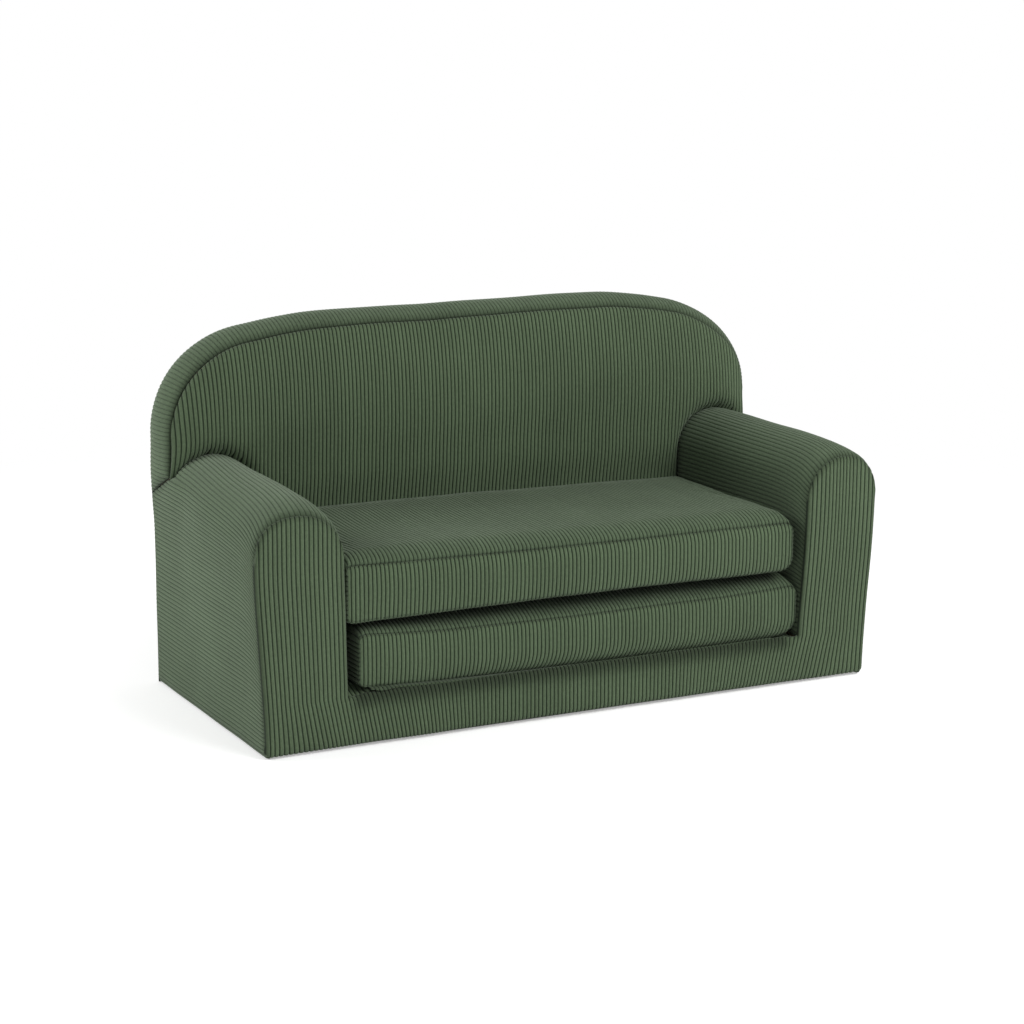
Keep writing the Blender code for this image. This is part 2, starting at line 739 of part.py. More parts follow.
def build_slabs():
    front_axis = (0.0, FRONT_HINGE_Y, FRONT_HINGE_Z)
    rear_axis = (0.0, REAR_HINGE_Y, REAR_HINGE_Z)
    lower_pivot = joint_empty("lower_slab_flip", front_axis)
    upper_pivot = joint_empty("upper_slab_unfold", rear_axis, lower_pivot)
    front_hinge_web(*front_axis[1:])
    rear_hinge_web(*rear_axis[1:], upper_pivot)
    lower = Slab("lower_slab", LOWER_BOTTOM, LOWER_EDGE_TOP, 0.0, LOWER_TOP_CROWN, lower_pivot)
    upper = Slab(
        "upper_slab",
        UPPER_EDGE_BOTTOM,
        UPPER_EDGE_TOP,
        UPPER_BOTTOM_CROWN,
        UPPER_TOP_CROWN,
        upper_pivot,
    )
    slab_pieces(lower)
    slab_pieces(upper)


clear_scene()
build_body()
build_slabs()
print("front hinge axis", FRONT_HINGE_Y, FRONT_HINGE_Z)
print("rear hinge axis", REAR_HINGE_Y, REAR_HINGE_Z)
print("seat height", UPPER_EDGE_TOP + UPPER_TOP_CROWN)
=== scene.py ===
# %% [markdown]
# # A children's flip-open sofa in wide-wale corduroy
#
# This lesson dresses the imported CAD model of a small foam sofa. Its arms are rolled, its back is
# arched, and its seat is two slabs that unfold forward into a mattress. The CAD solids stay the
# frame: each cloth piece below takes the place of one of them, rides on the same body, and carries
# what the solid can't: the ribs of the cloth, its rolled seams, its stitches and its foam.

import math
from dataclasses import dataclass

import bmesh
import bpy
import numpy as np
from mathutils import Matrix, Vector
from mathutils.kdtree import KDTree


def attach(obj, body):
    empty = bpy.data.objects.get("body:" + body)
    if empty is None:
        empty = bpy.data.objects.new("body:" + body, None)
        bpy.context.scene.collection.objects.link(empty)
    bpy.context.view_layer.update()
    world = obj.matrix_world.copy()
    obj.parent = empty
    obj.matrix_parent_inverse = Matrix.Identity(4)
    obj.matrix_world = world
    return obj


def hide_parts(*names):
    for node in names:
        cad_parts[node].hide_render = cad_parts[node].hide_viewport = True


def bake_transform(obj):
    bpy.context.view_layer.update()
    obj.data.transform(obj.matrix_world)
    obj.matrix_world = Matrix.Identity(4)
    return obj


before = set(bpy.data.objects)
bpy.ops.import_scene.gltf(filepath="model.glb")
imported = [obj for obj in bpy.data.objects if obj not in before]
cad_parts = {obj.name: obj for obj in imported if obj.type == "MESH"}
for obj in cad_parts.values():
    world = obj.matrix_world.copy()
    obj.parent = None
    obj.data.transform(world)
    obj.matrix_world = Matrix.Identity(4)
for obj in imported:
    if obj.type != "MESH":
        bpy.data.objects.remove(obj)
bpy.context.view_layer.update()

# %% [markdown]
# ## Camera
#
# The sofa is seen from its left front, a little from above, with a long lens that keeps its edges
# nearly parallel. A camera's place and its three turns come from the directions in which the
# sofa's own straight edges run, so they are written down once and nothing is fitted afterwards.
# Blender's camera looks along its own -Z, so the matrix is filled column by column.

# %% Camera
CAMERA_PLACE = (-1.3759, -2.6731, 0.8569)
CAMERA_YAW = 0.475412
CAMERA_PITCH = 0.212956
CAMERA_ROLL = 0.003897
CAMERA_LENS = 89.96
CAMERA_SENSOR = 36.0

ahead = Vector((
    math.sin(CAMERA_YAW) * math.cos(CAMERA_PITCH),
    math.cos(CAMERA_YAW) * math.cos(CAMERA_PITCH),
    -math.sin(CAMERA_PITCH),
))
level = Vector((math.cos(CAMERA_YAW), -math.sin(CAMERA_YAW), 0.0))
above = level.cross(ahead)
sideways = level * math.cos(CAMERA_ROLL) + above * math.sin(CAMERA_ROLL)
upwards = above * math.cos(CAMERA_ROLL) - level * math.sin(CAMERA_ROLL)
camera = bpy.data.objects.new("camera", bpy.data.cameras.new("camera"))
camera.data.lens = CAMERA_LENS
camera.data.sensor_width = CAMERA_SENSOR
turn = Matrix((sideways, upwards, -ahead)).transposed().to_4x4()
camera.matrix_world = Matrix.Translation(CAMERA_PLACE) @ turn
bpy.context.scene.collection.objects.link(camera)
bpy.context.scene.camera = camera
print("camera at", CAMERA_PLACE, "with a", CAMERA_LENS, "mm lens")

# %% [markdown]
# ## Building with nodes
#
# Both materials and Geometry Nodes are graphs of nodes, and both are built here in the same way: a
# node is added, its options are set, and each input gets either a value or a wire from another
# node. One helper does all three, and the others shorten what every graph needs: a step of
# arithmetic, named inputs and outputs, a soft threshold, a cloud of noise, and a fresh material.

# %% Helpers for node trees
def add_node(tree, kind, inputs=None, **options):
    """Adds a node, sets its options, and fills or wires its inputs."""
    node = tree.nodes.new(kind)
    for option, value in options.items():
        setattr(node, option, value)
    for socket, value in (inputs or {}).items():
        if isinstance(value, bpy.types.NodeSocket):
            tree.links.new(value, node.inputs[socket])
        else:
            node.inputs[socket].default_value = value
    return node


def reckon(tree, operation, *values, clamp=False):
    """One step of arithmetic on numbers or wires."""
    node = add_node(tree, "ShaderNodeMath", dict(enumerate(values)), operation=operation)
    node.use_clamp = clamp
    return node.outputs[0]


def open_sockets(tree, side, *sockets):
    """Gives a tree its named inputs or outputs, each as (name, kind) or (name, kind, default)."""
    for name, kind, *default in sockets:
        socket = tree.interface.new_socket(name=name, in_out=side, socket_type="NodeSocket" + kind)
        if default:
            socket.default_value = default[0]


def soft_threshold(tree, value, low, high):
    """0 below low, 1 above high, and eased between them."""
    inputs = {"Value": value, "From Min": low, "From Max": high}
    return add_node(tree, "ShaderNodeMapRange", inputs, interpolation_type="SMOOTHSTEP").outputs[0]


def noise(tree, place, scale, detail=3.0):
    inputs = {"Vector": place, "Scale": scale, "Detail": detail}
    return add_node(tree, "ShaderNodeTexNoise", inputs).outputs[0]


def new_material(name, finish):
    """A material whose shader's own sockets are set, with its tree and its shader."""
    material = bpy.data.materials.new(name)
    material.use_nodes = True
    shader = material.node_tree.nodes["Principled BSDF"]
    for socket, value in finish.items():
        shader.inputs[socket].default_value = value
    return material, material.node_tree, shader


print("node helpers are ready")

# %% [markdown]
# ## Floor and light
#
# The sofa stands on a white studio floor without a visible horizon. Seen by the camera, the floor is
# lifted a little and turns plain white farther away, so that the sofa's own shadow stays and the
# floor's edge doesn't show.

# %% Floor
WHITE = (1.0, 1.0, 1.0, 1.0)
FLOOR_HALF = 12.0
FLOOR_HEIGHT = -0.0004
FLOOR_WHITE = 0.92
FLOOR_LIFT = 0.36
FLOOR_FADE = (0.75, 1.6)

scene = bpy.context.scene
scene.view_settings.view_transform = "Standard"

floor_mesh = bpy.data.meshes.new("floor")
corners = [(x * FLOOR_HALF, y * FLOOR_HALF, FLOOR_HEIGHT) for x, y in ((-1, -1), (1, -1), (1, 1), (-1, 1))]
floor_mesh.from_pydata(corners, [], [(0, 1, 2, 3)])
floor = bpy.data.objects.new("floor", floor_mesh)
scene.collection.objects.link(floor)
floor_finish = {
    "Base Color": (FLOOR_WHITE, FLOOR_WHITE, FLOOR_WHITE, 1.0),
    "Roughness": 0.9,
    "Specular IOR Level": 0.1,
    "Emission Color": WHITE,
}
paper, nodes, paper_shader = new_material("studio floor", floor_finish)
seen = add_node(nodes, "ShaderNodeLightPath").outputs["Is Camera Ray"]
nodes.links.new(reckon(nodes, "MULTIPLY", seen, FLOOR_LIFT), paper_shader.inputs["Emission Strength"])
spot = add_node(nodes, "ShaderNodeTexCoord").outputs["Object"]
away = add_node(nodes, "ShaderNodeVectorMath", {0: spot}, operation="LENGTH").outputs["Value"]
far = soft_threshold(nodes, away, *FLOOR_FADE)
plain_white = add_node(nodes, "ShaderNodeEmission", {"Color": WHITE, "Strength": 1.0})
faded = add_node(
    nodes,
    "ShaderNodeMixShader",
    {0: reckon(nodes, "MULTIPLY", seen, far), 1: paper_shader.outputs[0], 2: plain_white.outputs[0]},
)
nodes.links.new(faded.outputs[0], nodes.nodes["Material Output"].inputs["Surface"])
floor_mesh.materials.append(paper)
print("floor:", 2 * FLOOR_HALF, "m square")

# %% [markdown]
# The world is seen as plain white by the camera and by glossy rays, but lights the cloth at a lower
# level, so the white costs the sofa none of its colour. Large soft lamps do the rest: corduroy shows
# its ribs by the shade in the grooves, and a hard lamp would turn that shade into stripes.

# %% World and lamps
WORLD_STRENGTH = 0.39
LAMPS = (
    # name, place, size, watts
    ("front", (0.8, -2.1, 1.95), 1.8, 47.0),
    ("left rear", (-2.4, 1.2, 1.3), 1.6, 52.0),
    ("right", (2.3, -1.5, 2.0), 1.6, 20.0),
)
LAMP_TARGET = Vector((0.0, 0.0, 0.2))

world = bpy.data.worlds.new("studio")
scene.world = world
world.use_nodes = True
sky = world.node_tree
sky.nodes.clear()
path = add_node(sky, "ShaderNodeLightPath").outputs
mirrored = reckon(sky, "MAXIMUM", path["Is Glossy Ray"], path["Is Transmission Ray"])
white = reckon(sky, "MAXIMUM", path["Is Camera Ray"], mirrored)
strength = reckon(sky, "MULTIPLY_ADD", white, 1.0 - WORLD_STRENGTH, WORLD_STRENGTH)
background = add_node(sky, "ShaderNodeBackground", {"Color": WHITE, "Strength": strength})
add_node(sky, "ShaderNodeOutputWorld", {"Surface": background.outputs[0]})

for name, place, size, watts in LAMPS:
    lamp = bpy.data.objects.new(name + " lamp", bpy.data.lights.new(name + " lamp", "AREA"))
    lamp.data.shape = "DISK"
    lamp.data.size = size
    lamp.data.energy = watts
    lamp.location = place
    lamp.rotation_euler = (LAMP_TARGET - Vector(place)).to_track_quat("-Z", "Y").to_euler()
    scene.collection.objects.link(lamp)
print("lamps:", [lamp[0] for lamp in LAMPS])

# %% [markdown]
# ## The sofa's measures
#
# These are the sizes that the CAD model was drawn to, in metres, and a few that belong to the cloth
# alone. X runs across the front, Y from the front to the rear, and Z up.

# %% Measures of the sofa
FRONT, REAR = -0.1775, 0.1775
BODY_HALF = 0.391
BAY_HALF = 0.292
SEAM_GAP = 0.0003
FLOOR_SKIN = 0.0010
RAIL_TOP = 0.060
DECK_TOP = 0.066
DECK_NOSE = 0.009
ARM_WIDTH = 0.099
ARM_SEAM_TOP = 0.274
ARM_CREST = 0.288
ARM_ROLL_LENGTH = 0.026
ARM_LEAN = 0.0105
ARM_SPREAD = 0.0035
SIDE_BLEND_LENGTH = 0.080
BACK_SEAM_Y = 0.1145
ARM_END = BACK_SEAM_Y - SEAM_GAP
BACK_SEAM_TOP = 0.430
BACK_CORNER_RADIUS = 0.115
BACK_TOP_RADIUS = 3.84
SLAB_HALF = 0.287
SLAB_FRONT = -0.1715
SLAB_REAR = 0.098
SLAB_END_DRAW = 0.002
WEB_HALF = 0.264

CORD_THICK = 0.0024
WALE = 0.005
print("sofa", 2 * BODY_HALF, "wide,", REAR - FRONT, "deep,", BACK_SEAM_TOP, "high at the back seam")

# %% [markdown]
# ## Shaping helpers
#
# Every cloth piece below is a rule that turns two numbers into a place in space: how many ribs
# across, and how many metres along them. The rules are written for whole arrays of numbers at once
# with NumPy, which keeps a sofa of more than a million triangles quick to build. Most of what makes
# it look soft comes and goes between two places, so one helper eases a change in between them.

# %% Helpers for shapes
def lerp(low, high, share):
    return low + (high - low) * share


def ease(share):
    share = np.clip(share, 0.0, 1.0)
    return share * share * (3 - 2 * share)


def grow(value, start, stop):
    """0 at start and 1 at stop, eased between them. start may be the larger one."""
    return ease((value - start) / (stop - start))


def bump(value, middle, width):
    """A soft hump: 1 in its middle, almost nothing two widths away."""
    return np.exp(-(((value - middle) / width) ** 2))


def hump(share):
    """0 at a share of 0 and of 1, and 1 halfway."""
    return 1 - (2 * share - 1) ** 2


def rounded(distance, width):
    """A quarter round's height share at a distance from the edge where it starts."""
    return np.sqrt(1 - np.clip(1 - distance / width, 0, 1) ** 2)


def rolled(distance, width):
    """How far an edge has rolled in: 1 at the edge itself, 0 where the round starts."""
    return 1 - rounded(distance, width)


def ripple(points, size, seed):
    """A gentle unevenness from -1 to 1: a few long waves that cross each other."""
    chance = np.random.default_rng(seed)
    total = np.zeros(points.shape[:-1])
    waves = 6
    for _ in range(waves):
        direction = chance.normal(size=3)
        direction /= np.linalg.norm(direction)
        length = size * chance.uniform(0.7, 1.6)
        total += np.sin(points @ direction * (2 * math.pi / length) + chance.uniform(0, 2 * math.pi))
    return total * 2 / waves


def smooth_steps(x, places, values, spread):
    """Values read off a bent line at x, with its corners smoothed over a spread."""
    shifts = np.linspace(-1, 1, 7)
    weights = 1.2 - np.abs(shifts)
    read = [w * np.interp(x + s * spread, places, values) for s, w in zip(shifts, weights)]
    return sum(read) / weights.sum()


print("shape helpers are ready")

# %% [markdown]
# ## How the sofa stands
#
# No foam sofa is as even as its drawing. This one is a little wider to the right, the fronts of its
# arms lean that way, its arch rises and falls by a few millimetres, and the seat has settled. One
# rule holds all of that for the body, so that its cloth and its foam stay together.

# %% How the body stands
WIDENED = 0.0062
INNER_LEAN_RIGHT = 0.0034
LEAN_LEFT = 0.0040
ARCH_SPOTS = (-0.39, -0.34, -0.29, -0.25, -0.21, -0.15, -0.05, 0.03, 0.12, 0.20, 0.26, 0.32, 0.35, 0.39)
ARCH_LIFTS_MM = (0.4, -1.4, -0.7, 3.4, 4.9, 3.8, 1.2, 1.6, 4.8, 7.0, 3.8, -3.8, -4.0, 1.0)
ARCH_SMOOTHING = 0.02
ARCH_HEIGHTS = (0.30, 0.38)
RIGHT_ARM_RISE = 0.0035
LEFT_FRONT_SINK = 0.0026
REAR_SIDE_SWELL = 0.0022
TO_THE_FRONT = (0.02, -0.13)
UP_THE_ARM = (0.0, 0.20)
INTO_THE_ARM = (0.26, 0.29)
OVER_THE_ARM = (0.25, 0.29)
RIGHT_OUTSIDE = (0.32, 0.38)
SWELL_SIDES = (0.36, 0.38)
SWELL_BEHIND = (0.05, 0.11)
SWELL_FROM, SWELL_UNTIL = (0.19, 0.24), (0.31, 0.26)
RISE_FROM, RISE_UNTIL = (0.12, 0.24), (0.37, 0.30)


def stood(points):
    """The body as it stands, from how it was drawn."""
    x, y, z = points[..., 0], points[..., 1], points[..., 2]
    beside = np.abs(x)
    front = grow(y, *TO_THE_FRONT)
    high = grow(z, *UP_THE_ARM)
    outer_right = grow(x, *RIGHT_OUTSIDE)
    right = WIDENED * np.clip(x / BODY_HALF, 0, 1.1) * (1 - front * outer_right * (0.5 + 0.5 * high))
    lean = np.where(x > 0, INNER_LEAN_RIGHT * (1 - outer_right), LEAN_LEFT)
    lean = lean * grow(beside, *INTO_THE_ARM) * front * high
    swell = grow(z, *SWELL_FROM) * grow(z, *SWELL_UNTIL) * grow(y, *SWELL_BEHIND)
    swell = REAR_SIDE_SWELL * swell * np.sign(x) * grow(beside, *SWELL_SIDES)
    arch = smooth_steps(x, ARCH_SPOTS, ARCH_LIFTS_MM, ARCH_SMOOTHING) / 1000 * grow(z, *ARCH_HEIGHTS)
    arm_rise = np.where(x > 0, RIGHT_ARM_RISE, -LEFT_FRONT_SINK * front) * grow(beside, *OVER_THE_ARM)
    arm_rise = arm_rise * grow(z, *RISE_FROM) * grow(z, *RISE_UNTIL)
    return np.stack([x + right + lean + swell, y, z + arch + arm_rise], axis=-1)


print("the arch rises by up to", max(ARCH_LIFTS_MM), "mm")

# %% [markdown]
# The seat has settled too. The lower slab's front edge hangs between its corners, most to the right of
# the middle, and the base under it gives way in the same line and at its left front corner.

# %% How the seat hangs
LOWER_SPOTS = (-0.287, -0.20, -0.10, 0.0, 0.10, 0.20, 0.287)
LOWER_BOTTOM_DROP = (0.0000, -0.0050, -0.0090, -0.0112, -0.0125, -0.0130, -0.0100)
DROOP_SMOOTHING = 0.035
DROOP_DEPTH = 0.110
CORNER_SAG = 0.0095
SAG_FROM_X = (-0.258, -0.278)
SAG_DEPTH = 0.035


def bottom_droop(x):
    """How far the lower slab's front bottom edge hangs below its CAD line."""
    return smooth_steps(x, LOWER_SPOTS, LOWER_BOTTOM_DROP, DROOP_SMOOTHING)


def droop_fade(y):
    """Full at the front, nothing behind the droop's depth."""
    return ease((SLAB_FRONT + DROOP_DEPTH - y) / DROOP_DEPTH)


def deck_sag(x, y):
    """How far the base gives way: under the slab's front edge, and in its left front corner."""
    corner = grow(x, *SAG_FROM_X) * ease((SLAB_FRONT + SAG_DEPTH - y) / SAG_DEPTH)
    return bottom_droop(x) * droop_fade(y) - CORNER_SAG * corner


print("the seat hangs by up to", -1000 * min(LOWER_BOTTOM_DROP), "mm")

# %% [markdown]
# ## Corduroy, as geometry
#
# Corduroy is pile cut into ribs, called wales. These are 5 mm apart and stand about a millimetre
# high, so they show at every edge and a bump map wouldn't be enough. Geometry Nodes raise them: the
# mesh carries how far across the wales each point is, which way is out and how far the nearest seam
# is, and one tree turns these into the rib's round section, into the cloth rolling in at its seams,
# and into the dent that a line of topstitching pulls. One tree serves every panel of the sofa.

# %% The corduroy tree
RIB_SQUARENESS = 2.6
RIB_FULLNESS = 0.6
DENT_SLOPE = -1000.0
EDGE_THINNING = -0.30


def end_tree(tree, geometry, material):
    """Makes instances real, gives them their material and hands them out."""
    real = add_node(tree, "GeometryNodeRealizeInstances", {"Geometry": geometry})
    dyed = add_node(tree, "GeometryNodeSetMaterial", {"Geometry": real.outputs[0], "Material": material})
    add_node(tree, "NodeGroupOutput", {"Geometry": dyed.outputs[0]})


def corduroy_tree():
    tree = bpy.data.node_groups.new("corduroy wales", "GeometryNodeTree")
    open_sockets(
        tree,
        "INPUT",
        ("Geometry", "Geometry"),
        ("Relief", "Float", 0.0014),
        ("Proud", "Float", 0.0003),
        ("Thickness", "Float", CORD_THICK),
        ("Roll Depth", "Float", 0.002),
        ("Roll Width", "Float", 0.005),
        ("Stitch Inset", "Float", 0.0051),
        ("Stitch Depth", "Float", 0.0),
        ("Cloth", "Material"),
    )
    open_sockets(tree, "OUTPUT", ("Geometry", "Geometry"))
    given = add_node(tree, "NodeGroupInput").outputs

    def carried(name, kind="FLOAT"):
        node = add_node(tree, "GeometryNodeInputNamedAttribute", {"Name": name}, data_type=kind)
        return node.outputs["Attribute"]

    across = reckon(tree, "FRACT", carried("wale"))
    beside = reckon(tree, "ABSOLUTE", reckon(tree, "MULTIPLY_ADD", across, 2.0, -1.0))
    square_rib = reckon(tree, "SUBTRACT", 1.0, reckon(tree, "POWER", beside, RIB_SQUARENESS))
    ridge = reckon(tree, "POWER", square_rib, RIB_FULLNESS)
    seam = carried("seam")
    near = reckon(tree, "SUBTRACT", 1.0, reckon(tree, "DIVIDE", seam, given["Roll Width"]), clamp=True)
    square = reckon(tree, "SUBTRACT", 1.0, reckon(tree, "MULTIPLY", near, near))
    turned = reckon(tree, "SUBTRACT", 1.0, reckon(tree, "SQRT", square))
    roll = reckon(tree, "MULTIPLY", turned, given["Roll Depth"])
    off_stitch = reckon(tree, "ABSOLUTE", reckon(tree, "SUBTRACT", seam, given["Stitch Inset"]))
    pulled = reckon(tree, "MULTIPLY_ADD", off_stitch, DENT_SLOPE, 1.0, clamp=True)
    dent = reckon(tree, "MULTIPLY", reckon(tree, "MULTIPLY", pulled, given["Stitch Depth"]), ridge)
    low = reckon(tree, "MULTIPLY", reckon(tree, "SUBTRACT", ridge, 1.0), given["Relief"])
    face = reckon(tree, "ADD", given["Proud"], reckon(tree, "SUBTRACT", low, dent))
    thinner = reckon(tree, "MULTIPLY_ADD", near, EDGE_THINNING, 1.0)
    lining = reckon(tree, "MULTIPLY", reckon(tree, "MULTIPLY", thinner, given["Thickness"]), -1.0)
    chosen = add_node(tree, "ShaderNodeMix", {0: carried("lining"), 2: face, 3: lining})
    offset = reckon(tree, "SUBTRACT", chosen.outputs[0], roll)
    outward = {0: carried("outward", "FLOAT_VECTOR"), "Scale": offset}
    push = add_node(tree, "ShaderNodeVectorMath", outward, operation="SCALE").outputs[0]
    moved = {"Geometry": given["Geometry"], "Offset": push}
    raised = add_node(tree, "GeometryNodeSetPosition", moved).outputs[0]
    end_tree(tree, raised, given["Cloth"])
    return tree


def run_tree(obj, tree, **values):
    """Runs a tree on an object and leaves the result as its plain mesh."""
    modifier = obj.modifiers.new(tree.name, "NODES")
    modifier.node_group = tree
    for item in tree.interface.items_tree:
        key = item.name.replace(" ", "_").lower()
        if item.in_out == "INPUT" and key in values:
            modifier[item.identifier] = values[key]
    scene.collection.objects.link(obj)
    evaluated = obj.evaluated_get(bpy.context.evaluated_depsgraph_get())
    mesh = bpy.data.meshes.new_from_object(evaluated)
    obj.modifiers.clear()
    obj.data = mesh
    mesh.name = obj.name
    return obj


wales_tree = corduroy_tree()
print("tree:", wales_tree.name, "with", len(wales_tree.nodes), "nodes")

# %% [markdown]
# ## Corduroy, as colour
#
# Close to, the cloth isn't one green. The pile leans and catches light in patches, and each rib is a
# little different from the next. The grooves between the ribs are darker: partly the ground cloth,
# which shows there, and partly painted shade, deeper than the grooves' own shadow. The group also
# paints shade where a panel's mesh marks it, and paints light into the grooves on high tops. All of
# this is one shader group that other materials can use again. Its sheen is set on the shader's own
# sockets: pile scatters light at a glancing angle, which makes the side of the sofa look lighter and
# greyer than its front; the lighter grooves painted on the arms add to that.

# %% The pile's colour
RIDGE_GREEN = (0.088, 0.126, 0.071, 1.0)
# Groove colours: the ground cloth's tone, darkened further by painted shade in the grooves.
GROOVE_GREEN_AND_SHADE = (0.015, 0.027, 0.013, 1.0)
# The nap-forward copy: darker ridges and lighter grooves, painted light and shade for how light falls on the
# arms, the slabs' covers and the band.
RIDGE_FORWARD_PAINTED_SHADE = (0.080, 0.114, 0.066, 1.0)
GROOVE_FORWARD_LIGHT_AND_SHADE = (0.032, 0.050, 0.027, 1.0)
GROOVE_EDGES = (0.48, 0.98)
# Painted light on high tops: less groove shade there, so the tops look lighter and flatter.
PAINTED_LIGHT_HEIGHTS = (0.235, 0.280)
PAINTED_LIGHT_ON_TOPS = 0.45
TUFTS_ACROSS, TUFTS_ALONG = 2.2, 260.0
FIBRE_SCALE = 1400.0
PATCH_SCALE = 14.0
RIB_TONES = 0.08
PATCH_GAIN, PILE_GAIN = 2.5, 2.0
FIBRE_HEIGHT = 0.6


def pile_group():
    tree = bpy.data.node_groups.new("corduroy pile", "ShaderNodeTree")
    open_sockets(
        tree,
        "INPUT",
        ("Ridge", "Color", RIDGE_GREEN),
        ("Groove", "Color", GROOVE_GREEN_AND_SHADE),
        ("Patchiness", "Float", 0.12),
        ("Fibre", "Float", 0.26),
        ("Crease Shade", "Float", 0.44),
        ("Rubbed", "Float", 0.0),
    )
    open_sockets(tree, "OUTPUT", ("Color", "Color"), ("Height", "Float"))
    given = add_node(tree, "NodeGroupInput").outputs
    place = add_node(tree, "ShaderNodeTexCoord").outputs["Object"]
    up = add_node(tree, "ShaderNodeSeparateXYZ", {0: place}).outputs["Z"]
    cloth = add_node(tree, "ShaderNodeUVMap", uv_map="cloth").outputs[0]
    split = add_node(tree, "ShaderNodeSeparateXYZ", {0: cloth}).outputs

    def around_middle(value, amount):
        return reckon(tree, "MULTIPLY", reckon(tree, "SUBTRACT", value, 0.5), amount)

    across = reckon(tree, "MULTIPLY_ADD", reckon(tree, "FRACT", split["X"]), 2.0, -1.0)
    # Painted shade: the grooves take the darker groove colour.
    groove = soft_threshold(tree, reckon(tree, "ABSOLUTE", across), *GROOVE_EDGES)
    # Painted light: on high tops the groove colour is partly taken away, so they look lighter.
    high = soft_threshold(tree, up, *PAINTED_LIGHT_HEIGHTS)
    kept = reckon(tree, "SUBTRACT", 1.0, reckon(tree, "MULTIPLY", high, given["Rubbed"]))
    colours = {0: reckon(tree, "MULTIPLY", groove, kept), 6: given["Ridge"], 7: given["Groove"]}
    base = add_node(tree, "ShaderNodeMix", colours, data_type="RGBA").outputs[2]
    tuft_place = {
        "X": reckon(tree, "MULTIPLY", split["X"], TUFTS_ACROSS),
        "Y": reckon(tree, "MULTIPLY", split["Y"], TUFTS_ALONG),
    }
    tufts = noise(tree, add_node(tree, "ShaderNodeCombineXYZ", tuft_place).outputs[0], 1.0)
    fibres = noise(tree, place, FIBRE_SCALE, 2.0)
    patches = noise(tree, place, PATCH_SCALE)
    rib_number = {"W": reckon(tree, "FLOOR", split["X"])}
    single = add_node(tree, "ShaderNodeTexWhiteNoise", rib_number, noise_dimensions="1D").outputs[0]
    shade = reckon(tree, "MULTIPLY_ADD", around_middle(patches, given["Patchiness"]), PATCH_GAIN, 1.0)
    shade = reckon(tree, "MULTIPLY_ADD", around_middle(tufts, given["Fibre"]), PILE_GAIN, shade)
    shade = reckon(tree, "MULTIPLY_ADD", around_middle(fibres, given["Fibre"]), PILE_GAIN, shade)
    shade = reckon(tree, "ADD", around_middle(single, RIB_TONES), shade)
    # Painted shade: darker where the panel's mesh marks it, in seams, under the slabs and in the front fold.
    crease = add_node(tree, "ShaderNodeAttribute", attribute_name="crease").outputs["Fac"]
    darker = reckon(tree, "MULTIPLY", crease, given["Crease Shade"])
    shade = reckon(tree, "MULTIPLY", shade, reckon(tree, "SUBTRACT", 1.0, darker))
    scaled = add_node(tree, "ShaderNodeVectorMath", {0: base, "Scale": shade}, operation="SCALE")
    height = reckon(tree, "ADD", tufts, reckon(tree, "MULTIPLY", fibres, FIBRE_HEIGHT))
    add_node(tree, "NodeGroupOutput", {"Color": scaled.outputs[0], "Height": height})
    return tree


pile = pile_group()
print("group:", pile.name, "with", len(pile.nodes), "nodes")

# %% [markdown]
# Two materials use the group. On most panels the nap points up. On the arms, the slabs' covers and
# the border band it points forward, and that copy carries painted light and shade: darker ridges and
# lighter grooves for how light falls on those panels, and on the high tops painted light that takes
# some of the grooves' shade away.

# %% The corduroy materials
PILE_FINISH = {
    "Roughness": 0.94,
    "Specular IOR Level": 0.18,
    "Sheen Weight": 0.22,
    "Sheen Roughness": 0.45,
    "Sheen Tint": (0.70, 0.76, 0.68, 1.0),
}
PILE_RELIEF = {"Strength": 0.5, "Distance": 0.0004}


def corduroy_material(name, ridge, groove, rubbed):
    material, tree, shader = new_material(name, PILE_FINISH)
    dyed = {"Ridge": ridge, "Groove": groove, "Rubbed": rubbed}
    colour = add_node(tree, "ShaderNodeGroup", node_tree=pile)
    for socket, value in dyed.items():
        colour.inputs[socket].default_value = value
    bumpy = add_node(tree, "ShaderNodeBump", {**PILE_RELIEF, "Height": colour.outputs["Height"]})
    tree.links.new(colour.outputs["Color"], shader.inputs["Base Color"])
    tree.links.new(bumpy.outputs[0], shader.inputs["Normal"])
    return material


corduroy = corduroy_material("green corduroy, nap up", RIDGE_GREEN, GROOVE_GREEN_AND_SHADE, 0.0)
corduroy_across_light_and_shade = corduroy_material("green corduroy, nap forward", RIDGE_FORWARD_PAINTED_SHADE, GROOVE_FORWARD_LIGHT_AND_SHADE, PAINTED_LIGHT_ON_TOPS)
print("materials:", corduroy.name, "and", corduroy_across_light_and_shade.name)

# %% [markdown]
# ## Cutting a panel of corduroy
#
# A panel is a closed shell: the ribbed face, a smooth back 2.4 mm behind it, and a rim that joins
# them. The face has six columns of points across each wale, close together beside the groove, and
# rows that crowd together at the seams, where the cloth rolls in. The back needs only one column
# for each groove. Windows, such as a zip's slot, are cells that are left out. Each point learns its
# distance to the nearest seam from a search tree over the panel's own border.

# %% Rows, columns and seams of a panel
FINE_WALE = np.array([0.0, 0.09, 0.24, 0.5, 0.76, 0.91])
PLAIN_WALE = np.array([0.0, 0.15, 0.5, 0.85])
SEAM_ROWS = np.array([0.0, 0.0005, 0.0012, 0.0021, 0.0032, 0.0045, 0.0060, 0.0080, 0.0110])
PLAIN_ROWS = np.array([0.0, 0.0008, 0.0020, 0.0045])
BORDER_STEP = 0.0008
ROWS_ROOM = 2.6


